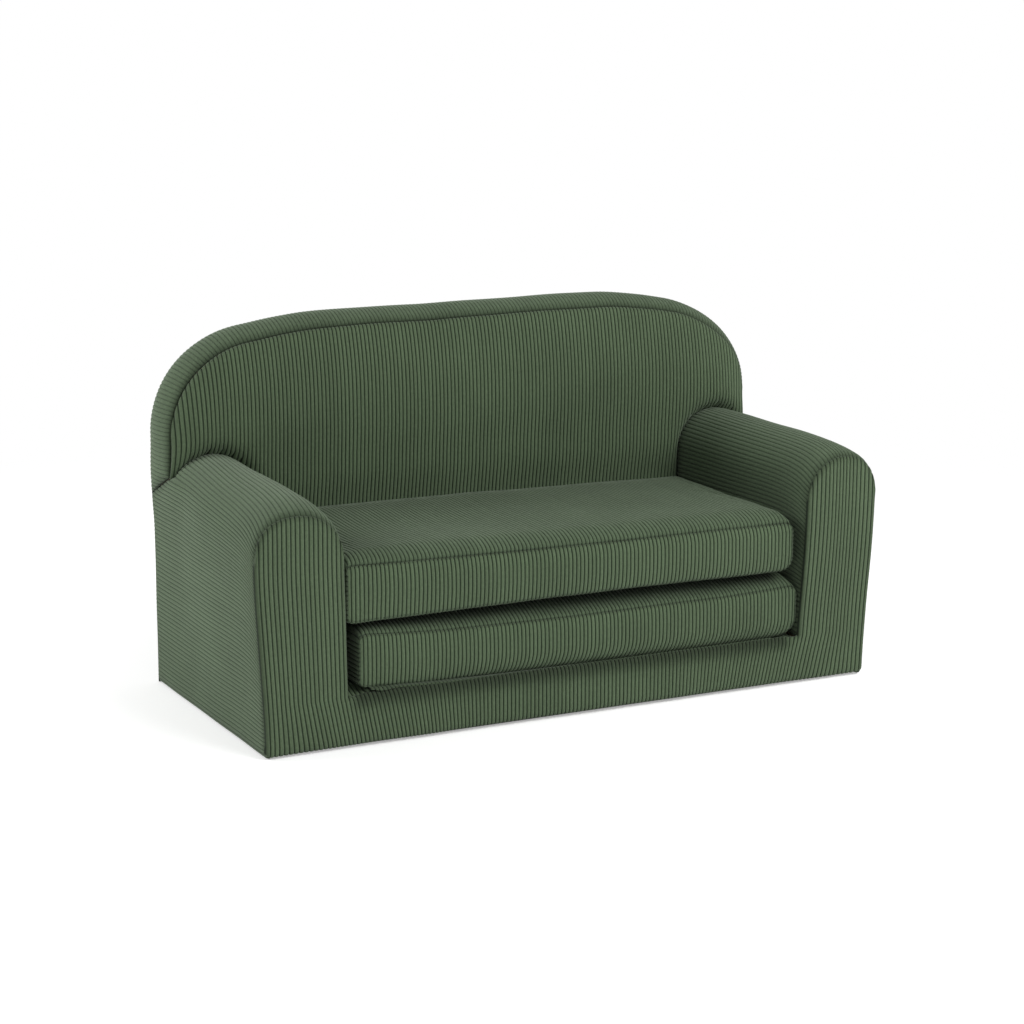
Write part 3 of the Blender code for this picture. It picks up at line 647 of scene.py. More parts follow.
def panel_rows(breaks, near, spacing):
    """Distances along each column: close together beside every break, even between them."""
    rows = []
    places = []
    for low, high in zip(breaks, breaks[1:]):
        room = high - low
        scale = np.minimum(1.0, room / (ROWS_ROOM * near[-1]))
        clear = room - 2 * near[-1] * scale
        count = max(1, int(np.ceil(clear.max() / spacing)))
        places.append(len(rows))
        rows += [low + d * scale for d in near]
        rows += [low + near[-1] * scale + clear * i / count for i in range(1, count)]
        rows += [high - d * scale for d in near[::-1][:-1]]
    places.append(len(rows))
    rows.append(breaks[-1])
    return np.array(rows), places


def outward_normals(points, inside):
    """Unit normals of a grid of points on the side away from a point inside, and which side it is."""
    normals = np.cross(np.gradient(points, axis=1), np.gradient(points, axis=0))
    normals /= np.maximum(np.linalg.norm(normals, axis=-1, keepdims=True), 1e-12)
    side = np.sign(((points - np.array(inside)) * normals).sum(axis=-1).mean())
    return normals * side, side


def panel_border(points, present, columns):
    """The rims of a panel: (row, wale, way) across the wales, and (row, groove, way) along them."""
    rows, wales = present.shape
    padded = np.zeros((rows + 2, wales + 2), bool)
    padded[1:-1, 1:-1] = present
    ends = padded[1:, 1:-1].astype(int) - padded[:-1, 1:-1]
    sides = padded[1:-1, 1:].astype(int) - padded[1:-1, :-1]
    border = []
    for i, k in np.argwhere(ends != 0):
        border.append(points[i, k * columns:(k + 1) * columns + 1])
    for i, k in np.argwhere(sides != 0):
        a, b = points[i, k * columns], points[i + 1, k * columns]
        steps = max(1, int(np.linalg.norm(b - a) / BORDER_STEP))
        border.append(a + (b - a) * (np.arange(steps + 1) / steps)[:, None])
    return ends, sides, np.concatenate(border)


def search_tree(points):
    tree = KDTree(len(points))
    for number, point in enumerate(points):
        tree.insert(point, number)
    tree.balance()
    return tree


def seam_distance(points, border):
    tree = search_tree(border)
    return np.array([tree.find(point)[2] for point in points.reshape(-1, 3)]).reshape(points.shape[:-1])


print("a fine wale has", len(FINE_WALE), "columns, a seam", len(SEAM_ROWS), "close rows")

# %% [markdown]
# With its border known, the panel's faces follow from counting. Quads cover the face and the back;
# at the end of every wale one many-sided face closes the rib, which gives the seams the small teeth
# that corduroy shows where its ribs are cut across.

# %% The faces and the mesh of a panel
def panel_faces(present, ends, sides, columns, side):
    rows, wales = present.shape
    width = wales * columns + 1
    face = np.arange((rows + 1) * width).reshape(rows + 1, width)
    back = face.size + np.arange((rows + 1) * (wales + 1)).reshape(rows + 1, wales + 1)
    polygons = []
    cell = np.argwhere(present)
    for c in range(columns):
        i, j = cell[:, 0], cell[:, 1] * columns + c
        quads = np.stack([face[i, j], face[i, j + 1], face[i + 1, j + 1], face[i + 1, j]], axis=1)
        polygons += quads.tolist()
    i, k = cell[:, 0], cell[:, 1]
    quads = np.stack([back[i, k], back[i + 1, k], back[i + 1, k + 1], back[i, k + 1]], axis=1)
    polygons += quads.tolist()
    for i, k in np.argwhere(ends != 0):
        rim = face[i, k * columns:(k + 1) * columns + 1].tolist() + [back[i, k + 1], back[i, k]]
        polygons.append(rim if ends[i, k] < 0 else rim[::-1])
    for i, k in np.argwhere(sides != 0):
        rim = [face[i, k * columns], face[i + 1, k * columns], back[i + 1, k], back[i, k]]
        polygons.append(rim if sides[i, k] > 0 else rim[::-1])
    if side < 0:
        polygons = [polygon[::-1] for polygon in polygons]
    return polygons


def with_lining(grid, columns):
    """The values of the face's points, then those of the lining, which has a point at each groove."""
    return np.concatenate([part.reshape(-1, *grid.shape[2:]) for part in (grid, grid[:, ::columns])])


def panel_mesh(name, polygons, columns, points, normals, along, values):
    """The panel's mesh. Its points carry values as attributes, its corners wales and metres as UVs."""
    vertices = with_lining(points, columns)
    used = np.unique(np.concatenate([np.array(p) for p in polygons]))
    new_number = np.zeros(len(vertices), int)
    new_number[used] = np.arange(len(used))
    mesh = bpy.data.meshes.new(name)
    mesh.from_pydata(vertices[used].tolist(), [], [new_number[p].tolist() for p in polygons])
    carried = {attribute: with_lining(grid, columns) for attribute, grid in values.items()}
    carried["lining"] = (np.arange(len(vertices)) >= along.size).astype(float)
    for attribute, grid in carried.items():
        mesh.attributes.new(attribute, "FLOAT", "POINT").data.foreach_set("value", grid[used])
    outward = mesh.attributes.new("outward", "FLOAT_VECTOR", "POINT")
    outward.data.foreach_set("vector", with_lining(normals, columns)[used].ravel())
    corner = np.zeros(len(mesh.loops), int)
    mesh.loops.foreach_get("vertex_index", corner)
    cloth = np.stack([carried["wale"], with_lining(along, columns)], axis=1)[used][corner]
    mesh.uv_layers.new(name="cloth").data.foreach_set("uv", cloth.ravel())
    return mesh


print("panels are closed by a rim of", len(FINE_WALE) + 3, "corners at the end of each wale")

# %% [markdown]
# The panel maker puts these steps in order. It also keeps the lines along which a seam is stitched,
# and marks painted shade, near every seam and wherever a shadow is given, so that the material
# darkens the colour there.

# %% Sew a panel together
THREAD_PROUD = 0.0003
# How far the painted shade of a seam reaches, in widths of the seam's roll.
PAINTED_SHADE_REACH = 1.4
RIPPLE_SIZE, RIPPLE_SEED = 0.11, 5
SHARP_ANGLE = math.radians(52)
stitch_paths = {}


def corduroy_panel(
    name,
    wales,
    breaks,
    surface,
    inside,
    windows=(),
    fine=True,
    spacing=0.010,
    unevenness=0.0005,
    core=None,
    on_body=True,
    material=None,
    pressed=None,
    **finish,
):
    """Cuts and finishes one panel.

    breaks gives, for each column, where the panel begins, any heights that need a row of their
    own, and where it ends. surface turns wales across and metres along into points. windows are
    (segment, first wale, last wale) left out. core is the foam whose swelling the cloth follows.
    A painted shadow, given as a rule over the points, darkens the colour where it falls.
    """
    steps = FINE_WALE if fine else PLAIN_WALE
    columns = len(steps)
    across = np.append((np.arange(wales)[:, None] + steps).ravel(), wales)
    limits = [np.broadcast_to(limit, across.shape).astype(float) for limit in breaks(across)]
    along, row_places = panel_rows(limits, SEAM_ROWS if fine else PLAIN_ROWS, spacing)
    across_grid = np.broadcast_to(across, along.shape)
    points = surface(across_grid, along)
    if on_body:
        points = stood(points)
    if core is not None:
        points = points + core.swelling(points)
    normals, side = outward_normals(points, inside)
    points = points + normals * (unevenness * ripple(points, RIPPLE_SIZE, RIPPLE_SEED))[..., None]
    present = np.ones((along.shape[0] - 1, wales), bool)
    for segment, first, last in windows:
        present[row_places[segment]:row_places[segment + 1], first:last] = False
    if finish.get("stitch_depth"):
        row = int(np.argmin(np.abs(SEAM_ROWS - finish["stitch_inset"])))
        on_top = points - normals * (finish["stitch_depth"] - THREAD_PROUD)
        stitch_paths[name] = (on_top[row], on_top[-1 - row])
    ends, sides, border = panel_border(points, present, columns)
    seam = seam_distance(points, border)
    # Painted shade: darkest at each seam, and wherever a painted shadow is given.
    crease = np.clip(1 - seam / (PAINTED_SHADE_REACH * finish["roll_width"]), 0, 1) ** 2
    if pressed is not None:
        crease = np.maximum(crease, pressed(points))
    polygons = panel_faces(present, ends, sides, columns, side)
    values = {"wale": across_grid, "seam": seam, "crease": crease}
    mesh = panel_mesh(name, polygons, columns, points, normals, along, values)
    obj = bpy.data.objects.new(name + "_cloth", mesh)
    run_tree(obj, wales_tree, cloth=material or corduroy, **finish)
    for attribute in ("wale", "seam", "lining", "outward"):
        obj.data.attributes.remove(obj.data.attributes[attribute])
    obj.data.shade_smooth()
    obj.data.set_sharp_from_angle(angle=SHARP_ANGLE)
    print(f"{name}: {wales} wales, {len(obj.data.vertices)} points")
    return obj


def settle_in(obj, body):
    """The cover rides on its body and stands for its CAD node."""
    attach(obj, body)
    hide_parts(obj.name.removesuffix("_cloth"))


print("panel maker is ready")

# %% [markdown]
# ## Foam that swells
#
# Inside each cover is a block of foam, a little too big for it, which is what makes the cloth taut.
# It is cream, with open pores and a slightly cloudy tone. Two textures in Object coordinates give
# that, so the finish sits still on a block whatever its shape.

# %% The foam's finish
FOAM_CREAM = (0.60, 0.54, 0.36, 1.0)
FOAM_SHADE = (0.42, 0.36, 0.22, 1.0)
PORE_SCALE = 800.0
CLOUD_SCALE = 18.0
FOAM_FINISH = {"Roughness": 0.95, "Specular IOR Level": 0.1}
FOAM_RELIEF = {"Strength": 0.6, "Distance": 0.0006}


def foam_material():
    material, tree, shader = new_material("open-cell foam", FOAM_FINISH)
    place = add_node(tree, "ShaderNodeTexCoord").outputs["Object"]
    cells = add_node(tree, "ShaderNodeTexVoronoi", {"Vector": place, "Scale": PORE_SCALE}).outputs["Distance"]
    tones = {0: noise(tree, place, CLOUD_SCALE), 6: FOAM_SHADE, 7: FOAM_CREAM}
    mixed = add_node(tree, "ShaderNodeMix", tones, data_type="RGBA")
    pores = add_node(tree, "ShaderNodeBump", {**FOAM_RELIEF, "Height": cells})
    tree.links.new(mixed.outputs[2], shader.inputs["Base Color"])
    tree.links.new(pores.outputs[0], shader.inputs["Normal"])
    return material


cream_foam = foam_material()
print("material:", cream_foam.name)

# %% [markdown]
# A copy of the CAD solid is remeshed into even quads, set to the settled shape of its cushion, and
# then run as a closed cloth skin with air pressure inside and no gravity. Twenty frames are enough.
# The movement is softened towards a cap, and it is kept, because the covers follow it as well: a
# point of a cover moves as the nearest points of the foam do.

# %% Foam cores
FOAM_WELD = 0.00002
FOAM_VOXEL = 0.006
FOAM_SLACK = 0.0060
FOAM_PRESSURE = 4.0
FOAM_QUALITY = 3
FOAM_FRAMES = 20
NEAREST_POINTS = 6
NEAREST_REACH = 0.003


def in_threes(items, field):
    """What each vertex or normal holds, as one row of three numbers."""
    values = np.zeros(len(items) * 3, np.float32)
    items.foreach_get(field, values)
    return values.reshape(-1, 3).astype(float)


def applied(obj):
    """The object's mesh as its modifiers leave it."""
    bpy.context.view_layer.update()
    evaluated = obj.evaluated_get(bpy.context.evaluated_depsgraph_get())
    return bpy.data.meshes.new_from_object(evaluated)


class FoamCore:
    """A foam block made from a copy of a CAD solid, and how it swells."""

    def __init__(self, node, cap, settle, room=None):
        self.room = room
        self.obj = self.block(node)
        mesh = self.obj.data
        normals = in_threes(mesh.vertex_normals, "vector")
        points = settle(in_threes(mesh.vertices, "co") - normals * FOAM_SLACK)
        mesh.vertices.foreach_set("co", points.ravel())
        mesh.update()
        self.moved = np.zeros_like(points)
        if cap > 0:
            self.swell(points, cap)
        mesh.vertices.foreach_set("co", (points + self.limited(points, self.moved)).ravel())
        mesh.update()
        mesh.materials.append(cream_foam)
        mesh.shade_smooth()
        self.tree = search_tree(points)
        print(f"{node}: {len(points)} points, swells by up to {np.abs(self.moved).max() * 1000:.1f} mm")

    def block(self, node):
        """The solid's copy, welded and remeshed."""
        copy = bmesh.new()
        copy.from_mesh(bpy.data.objects[node].data)
        bmesh.ops.remove_doubles(copy, verts=copy.verts, dist=FOAM_WELD)
        mesh = bpy.data.meshes.new(node)
        copy.to_mesh(mesh)
        copy.free()
        obj = bpy.data.objects.new(node + "_block", mesh)
        scene.collection.objects.link(obj)
        remesh = obj.modifiers.new("even quads", "REMESH")
        remesh.mode = "VOXEL"
        remesh.voxel_size = FOAM_VOXEL
        even = applied(obj)
        obj.modifiers.clear()
        obj.data = even
        return obj

    def swell(self, points, cap):
        """Runs the block as a skin under pressure, and keeps how far each point moved."""
        cloth = self.obj.modifiers.new("swelling", "CLOTH")
        cloth.settings.use_pressure = True
        cloth.settings.uniform_pressure_force = FOAM_PRESSURE
        cloth.settings.effector_weights.gravity = 0.0
        cloth.settings.quality = FOAM_QUALITY
        cloth.point_cache.frame_start = 1
        cloth.point_cache.frame_end = FOAM_FRAMES
        for frame_number in range(1, FOAM_FRAMES + 1):
            scene.frame_set(frame_number)
        moved = in_threes(applied(self.obj).vertices, "co") - points
        self.obj.modifiers.clear()
        scene.frame_set(1)
        size = np.linalg.norm(moved, axis=1, keepdims=True)
        self.moved = moved * cap / (cap + size)

    def limited(self, points, moved):
        return moved if self.room is None else moved * self.room(points)[..., None]

    def swelling(self, points):
        """How far the foam under each point has swollen: the mean of the nearest foam points."""
        flat = points.reshape(-1, 3)
        total = np.zeros_like(flat)
        if not self.moved.any():
            return total.reshape(points.shape)
        for number, point in enumerate(flat):
            found = self.tree.find_n(point, NEAREST_POINTS)
            weights = [1.0 / (near[2] + NEAREST_REACH) ** 2 for near in found]
            for near, weight in zip(found, weights):
                total[number] += self.moved[near[1]] * weight
            total[number] /= sum(weights)
        return self.limited(flat, total).reshape(points.shape)


def finish_core(core, body):
    """The foam block takes the place of its CAD solid."""
    core.obj.name = core.obj.name.replace("_block", "_core")
    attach(core.obj, body)
    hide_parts(core.obj.name.removesuffix("_core"))


print("foam cores are ready to be cut")

# %% [markdown]
# ## The arms
#
# One piece of cloth covers each arm: up its inside from the seat, over the roll, and down its
# outside to the floor, where it also runs on over the side of the back. Its wales run from front to
# rear. Towards the front the roll drops by 14 mm to its seam, and the wales follow it down. Only
# the lowest part of the side takes up what is over, so the wales there draw closer together.

# %% The arm's section
ARM_MIDDLE = (BAY_HALF + BODY_HALF) / 2
INNER_FOOT = DECK_TOP + SEAM_GAP
WRAP_INNER_WALES = 46
WRAP_OUTER_WALES = 63
WRAP_FRONT_GAP = 0.0026
SIDE_SEAM_HIGH = 0.2620
SIDE_SEAM_LOW = 0.2330
QUARTER = math.pi / 2
SHOULDER = 0.0032
CREST_SINK = 0.0015
SHOULDER_LENGTH = 0.050
SIDE_TURNS = (1.0, 1.15)


def towards_front(y):
    """0 where the arm meets the back, 1 at its front."""
    return np.clip((ARM_END - y) / (ARM_END - FRONT), 0, 1)


def arm_arch(y):
    """Centre (x, z) and radius of the arch over the right arm, at places along it."""
    fade = towards_front(y)
    rise = 1 - np.exp(-np.maximum(0.0, y - FRONT) / ARM_ROLL_LENGTH)
    radius = ARM_WIDTH / 2 + ARM_SPREAD * fade
    return ARM_MIDDLE + ARM_LEAN * fade, lerp(ARM_SEAM_TOP, ARM_CREST, rise) - radius, radius


def face_x(y, z, way):
    """The arm's inner (-1) or outer (1) face, leaning from its foot to the arch's springing."""
    centre_x, centre_z, radius = arm_arch(y)
    return lerp(ARM_MIDDLE + way * ARM_WIDTH / 2, centre_x + way * radius, ease(z / centre_z))


def arch_bend(angle, way):
    """How far the arch leaves its circle at the front: full outer shoulder, flatter crest."""
    shoulder = np.where(way > 0, SHOULDER, 0.0) * np.sin(2 * angle) ** 2
    return shoulder - CREST_SINK * np.cos(angle) ** 4


def arm_skin(reach, way, y):
    """(x, z) at a distance from the crest, measured over the arm's surface."""
    centre_x, centre_z, radius = arm_arch(y)
    angle = np.minimum(reach / radius, QUARTER)
    down = np.maximum(0.0, reach - radius * QUARTER)
    bent = radius + arch_bend(angle, way) * np.exp(-np.maximum(0.0, y - FRONT) / SHOULDER_LENGTH)
    z = centre_z + bent * np.cos(angle) - down
    x = np.where(down > 0, face_x(y, z, way), centre_x + way * bent * np.sin(angle))
    beside = grow(angle, *SIDE_TURNS) * grow(y, ARM_END - SIDE_BLEND_LENGTH, ARM_END)
    return np.where(way > 0, lerp(x, BODY_HALF, beside), x), z


def leg_reach(y, foot):
    """Distance over the surface from the crest to the foot."""
    _, centre_z, radius = arm_arch(y)
    return radius * QUARTER + centre_z - foot


def arm_end_height(reach):
    return arm_skin(reach, np.ones_like(reach), np.full_like(reach, ARM_END))[1]


print("arm crest", ARM_CREST, "seam top", ARM_SEAM_TOP)

# %% [markdown]
# A wale of the wrap is known by its distance from the crest at the arm's rear end. Forward of that it
# dips over the shoulder, drifts a little to the left as this cloth was cut slightly off its grain,
# and gives way at the foot where the base has settled.

# %% The arm wrap's rule
OUTER_DIP = (0.010, 0.030)
INNER_DIP = (0.005, 0.020)
DIP_REACH = 0.06
TAKEN_UP = (0.45, 1.0)
LEFT_TWIST = 0.022
RIGHT_TWIST = -0.009
TWIST_REACH = 0.150
SAG_HEIGHT = 0.05
CORNER_LIFT_RADIUS = 0.007
CORNER_LIFT_HEIGHT = 0.030
ARM_INSIDE_Z = 0.15
ARM_SEAMS = dict(relief=0.0010, roll_depth=0.0040, roll_width=0.0105)


def corner_lift(along, z):
    """How far a lower corner of the body is rounded up from the floor."""
    lift = CORNER_LIFT_RADIUS * rolled(along, CORNER_LIFT_RADIUS)
    return lift * np.clip(1 - z / CORNER_LIFT_HEIGHT, 0, 1)


def twisted(way, reach, y, side):
    """The grain of the cloth drifts to the left on both arms, from the back to the front."""
    drift = LEFT_TWIST if side < 0 else RIGHT_TWIST
    signed = way * reach + drift * towards_front(y) * (1 - ease(reach / TWIST_REACH))
    return np.where(signed < 0, -1, 1), np.abs(signed)


def wrap_frame(across):
    """Which way from the crest a wale lies, and how far, at the rear end of the arm."""
    way = np.where(across < WRAP_INNER_WALES, -1, 1)
    foot = np.where(way < 0, INNER_FOOT, FLOOR_SKIN)
    full = leg_reach(ARM_END, foot)
    count = np.where(way < 0, WRAP_INNER_WALES, WRAP_OUTER_WALES)
    return way, foot, full, np.abs(across - WRAP_INNER_WALES) / count * full


def wrap_end(across):
    """Where a wale of the arm's wrap ends: at the back's front, or past its side below the seam."""
    way, _, _, reach = wrap_frame(across)
    past = np.clip((SIDE_SEAM_HIGH - arm_end_height(reach)) / (SIDE_SEAM_HIGH - SIDE_SEAM_LOW), 0, 1)
    return np.where(way < 0, ARM_END, lerp(ARM_END, REAR, past))


def arm_wrap(name, side, core):
    start = FRONT + WRAP_FRONT_GAP

    def breaks(across):
        return [np.zeros_like(across), wrap_end(across) - start]

    def surface(across, along):
        y = start + along
        way, foot, full, reach = wrap_frame(across)
        depth = np.where(way > 0, OUTER_DIP[0], INNER_DIP[0])
        length = np.where(way > 0, OUTER_DIP[1], INNER_DIP[1])
        dip = depth * np.exp(-(y - FRONT) / length) * grow(reach, 0.0, DIP_REACH)
        low = grow(reach / full, *TAKEN_UP)
        reach = reach - (full - leg_reach(y, foot)) * low + dip * (1 - low)
        way, reach = twisted(way, reach, y, side)
        x, z = arm_skin(reach, way, y)
        sunk = deck_sag(np.full_like(y, side * BAY_HALF), y) * grow(z, INNER_FOOT + SAG_HEIGHT, INNER_FOOT)
        z = z + np.where(way > 0, corner_lift(y - FRONT, z) + corner_lift(REAR - y, z), sunk)
        return np.stack([side * x, y, z], axis=-1)

    wales = WRAP_INNER_WALES + WRAP_OUTER_WALES
    inside = (side * ARM_MIDDLE, 0.0, ARM_INSIDE_Z)
    worn = dict(core=core, material=corduroy_across_light_and_shade)
    return corduroy_panel(name, wales, breaks, surface, inside, **worn, **ARM_SEAMS)


print("an arm wrap has", WRAP_INNER_WALES, "wales inside and", WRAP_OUTER_WALES, "outside")

# %% [markdown]
# The arm's foam swells first, under a cap of one millimetre, and only where nothing holds it: on the
# outside and the top. Then the wrap is sewn over it.

# %% Arm wraps and their foam
ARM_SWELL_CAP = 0.0010
ARM_SWELLS_OUT = (BAY_HALF + 0.02, BAY_HALF + 0.07)
ARM_SWELLS_BEHIND = (FRONT + 0.01, FRONT + 0.09)
ARM_SWELLS_AHEAD = (0.11, -0.03)
ARM_SWELLS_ABOVE = (0.0, 0.06)


def arm_room(points):
    """Where the arm may swell: its outside and top, away from its seams."""
    x, y, z = np.abs(points[..., 0]), points[..., 1], points[..., 2]
    along = grow(y, *ARM_SWELLS_BEHIND) * grow(y, *ARM_SWELLS_AHEAD)
    return grow(x, *ARM_SWELLS_OUT) * along * grow(z, *ARM_SWELLS_ABOVE)


for name, side in (("left_arm", -1), ("right_arm", 1)):
    arm_core = FoamCore(name + "_foam", ARM_SWELL_CAP, stood, arm_room)
    settle_in(arm_wrap(name + "_wrap", side, arm_core), "body")
    finish_core(arm_core, "body")

# %% [markdown]
# ## The U-shaped front panel
#
# The fronts of both arms and the low rail between them are one piece of cloth, with its wales
# upright. Over the arms they lean outwards with the arm's edges and end under the arch. It is one
# grid: a row runs through at the rail's top, and above it the cells between the arms are left out.

# %% The front panel's edges
LEFT_ARM_WALES = 20
RIGHT_ARM_WALES = 18
RAIL_WALES = 116
HALF_RAIL = RAIL_WALES / 2
FOOT_GATHER = 0.011
GATHER_STARTS = (0.10, 0.26)
GATHER_STOPS = (BODY_HALF, BODY_HALF - 0.07)
RAIL_SINK_SHARE = 0.10
RAIL_LIP = 0.0022
RAIL_LIP_FADE = 0.03
ARCH_INSET = 0.0008
ARCH_POINTS = 80
BELOW_ARCH = 0.2


def in_bay(x, fade, past=0.0):
    """1 between the arms, and gone over the width of a fade before them."""
    return ease((BAY_HALF + past - np.abs(x)) / fade)


def rail_top(x):
    return RAIL_TOP + (RAIL_LIP + RAIL_SINK_SHARE * bottom_droop(x)) * in_bay(x, RAIL_LIP_FADE)


def front_x(across, z):
    """Where a front panel's wale stands at a height."""
    from_middle = across - LEFT_ARM_WALES - HALF_RAIL
    way = np.sign(from_middle)
    count = np.abs(from_middle)
    z = np.clip(z, 0, arm_arch(FRONT)[1])
    inner, outer = face_x(FRONT, z, -1), face_x(FRONT, z, 1)
    arm_share = (count - HALF_RAIL) / np.where(way < 0, LEFT_ARM_WALES, RIGHT_ARM_WALES)
    x = np.where(count > HALF_RAIL, lerp(inner, outer, arm_share), inner * count / HALF_RAIL)
    gathered = FOOT_GATHER * np.clip(1 - z / RAIL_TOP, 0, 1)
    return way * (x - gathered * grow(x, *GATHER_STARTS) * grow(x, *GATHER_STOPS))


def arch_height(across):
    """The top of the arm front over a wale."""
    centre_x, centre_z, radius = arm_arch(FRONT)
    x = np.abs(front_x(across, np.full_like(across, centre_z)))
    turn = np.linspace(0, QUARTER, ARCH_POINTS)
    rises = []
    for way in (-1, 1):
        bent = radius - ARCH_INSET + arch_bend(turn, way)
        rises.append(np.interp(np.abs(x - centre_x), bent * np.sin(turn), bent * np.cos(turn)))
    rise = np.where(x < centre_x, *rises)
    return np.where(x > centre_x - radius - 1e-6, centre_z + rise, BELOW_ARCH)


print("the front has", LEFT_ARM_WALES, "+", RAIL_WALES, "+", RIGHT_ARM_WALES, "wales")

# %% [markdown]
# The panel isn't flat. It rounds under to the floor, and the rail's top edge turns back under the
# slab that rests on it. There the slab's shadow is painted into the colour, darkest at the top.

# %% Front panel
FRONT_INSET = 0.0003
FOOT_ARCH = 0.0018
FOOT_ROUND_HEIGHT = 0.014
FOOT_ROUND_DEPTH = 0.0045
RAIL_ROUND_HEIGHT = 0.016
RAIL_ROUND_DEPTH = 0.0075
RAIL_ROUND_FADE = 0.012
# Painted shadow of the slab on the rail's top: its strength, the heights it covers and its fade at the arms.
RAIL_PAINTED_SHADOW = 1.45
RAIL_SHADOW_HEIGHTS = (-0.026, -0.003)
RAIL_SHADOW_FADE, RAIL_SHADOW_PAST = 0.02, 0.004
FRONT_SEAMS = dict(roll_depth=0.0026, roll_width=0.0065)
FRONT_INSIDE = (0.0, 0.0, 0.1)


def foot_round(z):
    """How far the front goes back where it rounds under to the floor."""
    return FOOT_ROUND_DEPTH * rolled(z - FLOOR_SKIN, FOOT_ROUND_HEIGHT)


def rail_round(x, z):
    """How far the rail's top edge goes back under the slab."""
    return RAIL_ROUND_DEPTH * rolled(rail_top(x) - z, RAIL_ROUND_HEIGHT) * in_bay(x, RAIL_ROUND_FADE)


def painted_rail_shadow(points):
    """Painted shadow along the rail's top, where the slab rests on it and shades it."""
    x, z = points[..., 0], points[..., 2]
    return RAIL_PAINTED_SHADOW * grow(z - rail_top(x), *RAIL_SHADOW_HEIGHTS) * in_bay(x, RAIL_SHADOW_FADE, RAIL_SHADOW_PAST)


def front_panel():
    def breaks(across):
        at_rail = front_x(across, np.full_like(across, RAIL_TOP))
        at_foot = np.abs(front_x(across, np.zeros_like(across))) / BODY_HALF
        start = corner_lift(BODY_HALF * (1 - at_foot), np.zeros_like(across)) + FOOT_ARCH * (1 - at_foot**2)
        return [start, rail_top(at_rail) - FLOOR_SKIN, arch_height(across) - FLOOR_SKIN]

    def surface(across, along):
        z = FLOOR_SKIN + along
        x = front_x(across, z)
        return np.stack([x, FRONT + FRONT_INSET + foot_round(z) + rail_round(x, z), z], axis=-1)

    wales = LEFT_ARM_WALES + RAIL_WALES + RIGHT_ARM_WALES
    open_bay = [(1, LEFT_ARM_WALES, LEFT_ARM_WALES + RAIL_WALES)]
    finish = dict(windows=open_bay, pressed=painted_rail_shadow, **FRONT_SEAMS)
    return corduroy_panel("front_panel", wales, breaks, surface, FRONT_INSIDE, **finish)


settle_in(front_panel(), "body")

# %% [markdown]
# ## The deck
#
# The deck is the cloth over the base between the arms. It starts at the rail's top with a soft
# rounded nose and carries the lower slab. Its front gives way under the slab, so it follows the
# slab's hanging front edge.

# %% Base deck panel
DECK_TONGUE = 0.0016
NOSE_LENGTH = 0.0118
NOSE_SET_BACK = 0.0030
NOSE_UNDER = 0.0012
BASE_SLACK = 0.0015
BASE_FRONT_SLACK = 0.002
BASE_SINKS = (0.0, 0.05)
BASE_ROLLS = (0.035, 0.055)
BASE_FRONT = (FRONT + 0.03, FRONT + 0.01)
DECK_FINISH = dict(fine=False, spacing=0.012, roll_depth=0.001, roll_width=0.003)
DECK_INSIDE = (0.0, 0.0, 0.0)


def straight_ends(length):
    """The breaks of a panel that is as long at every wale."""
    return lambda across: [np.zeros_like(across), np.full_like(across, length)]


def deck_surface(across, along):
    x = lerp(-1, 1, across / RAIL_WALES) * (BAY_HALF + DECK_TONGUE)
    angle = np.minimum(along / NOSE_LENGTH, 1) * QUARTER
    flat = np.maximum(0.0, along - NOSE_LENGTH)
    set_back = lerp(NOSE_SET_BACK, RAIL_ROUND_DEPTH, in_bay(x, RAIL_ROUND_FADE))
    y = FRONT + set_back + (DECK_NOSE - set_back) * (1 - np.cos(angle)) + flat
    deck = DECK_TOP + deck_sag(x, y)
    z = lerp(np.minimum(rail_top(x) + SEAM_GAP, deck - NOSE_UNDER), deck, np.sin(angle))
    return np.stack([x, y, z], axis=-1)


def base_settle(points):
    """The base's foam gives way under the slab as the deck does."""
    x, y, z = points.T
    sunk = (deck_sag(x, y) - BASE_SLACK) * grow(z, *BASE_SINKS)
    back = (BASE_FRONT_SLACK + RAIL_ROUND_DEPTH * grow(z, *BASE_ROLLS)) * grow(y, *BASE_FRONT)
    return stood(np.stack([x, y + back, z + sunk], axis=-1))


deck_ends = straight_ends(NOSE_LENGTH + ARM_END - FRONT - DECK_NOSE)
deck = corduroy_panel("base_deck_panel", RAIL_WALES, deck_ends, deck_surface, DECK_INSIDE, **DECK_FINISH)
settle_in(deck, "body")
finish_core(FoamCore("base_foam", 0.0, base_settle), "body")

# %% [markdown]
# ## The back
#
# The back stands under a wide arch of three arcs. Its front and rear panels have upright wales; the
# border band between them has short wales that run from front to rear and bulges out, most over the
# top. The front panel is full: it comes forward between the arms.

# %% The back's arch
BACK_CORNER_X = BODY_HALF - BACK_CORNER_RADIUS
BACK_REACH = BACK_TOP_RADIUS - BACK_CORNER_RADIUS
BACK_TOP_Z = BACK_SEAM_TOP - BACK_TOP_RADIUS
BACK_CORNER_Z = BACK_TOP_Z + math.sqrt(BACK_REACH**2 - BACK_CORNER_X**2)
BACK_TURN = math.asin(BACK_CORNER_X / BACK_REACH)
TOP_REACH = BACK_TOP_RADIUS * BACK_TURN
CORNER_REACH = BACK_CORNER_RADIUS * (QUARTER - BACK_TURN)
BACK_WALES = 156
PANEL_INSET = 0.0012
SEAT_CROWN = 0.0100
BACK_CROWN = 0.0175
ARM_TUCK = 0.022
SIDE_TUCK = 0.050
TOP_TUCK_LENGTH = 0.110
CROWN_HEIGHTS = (0.20, 0.26)


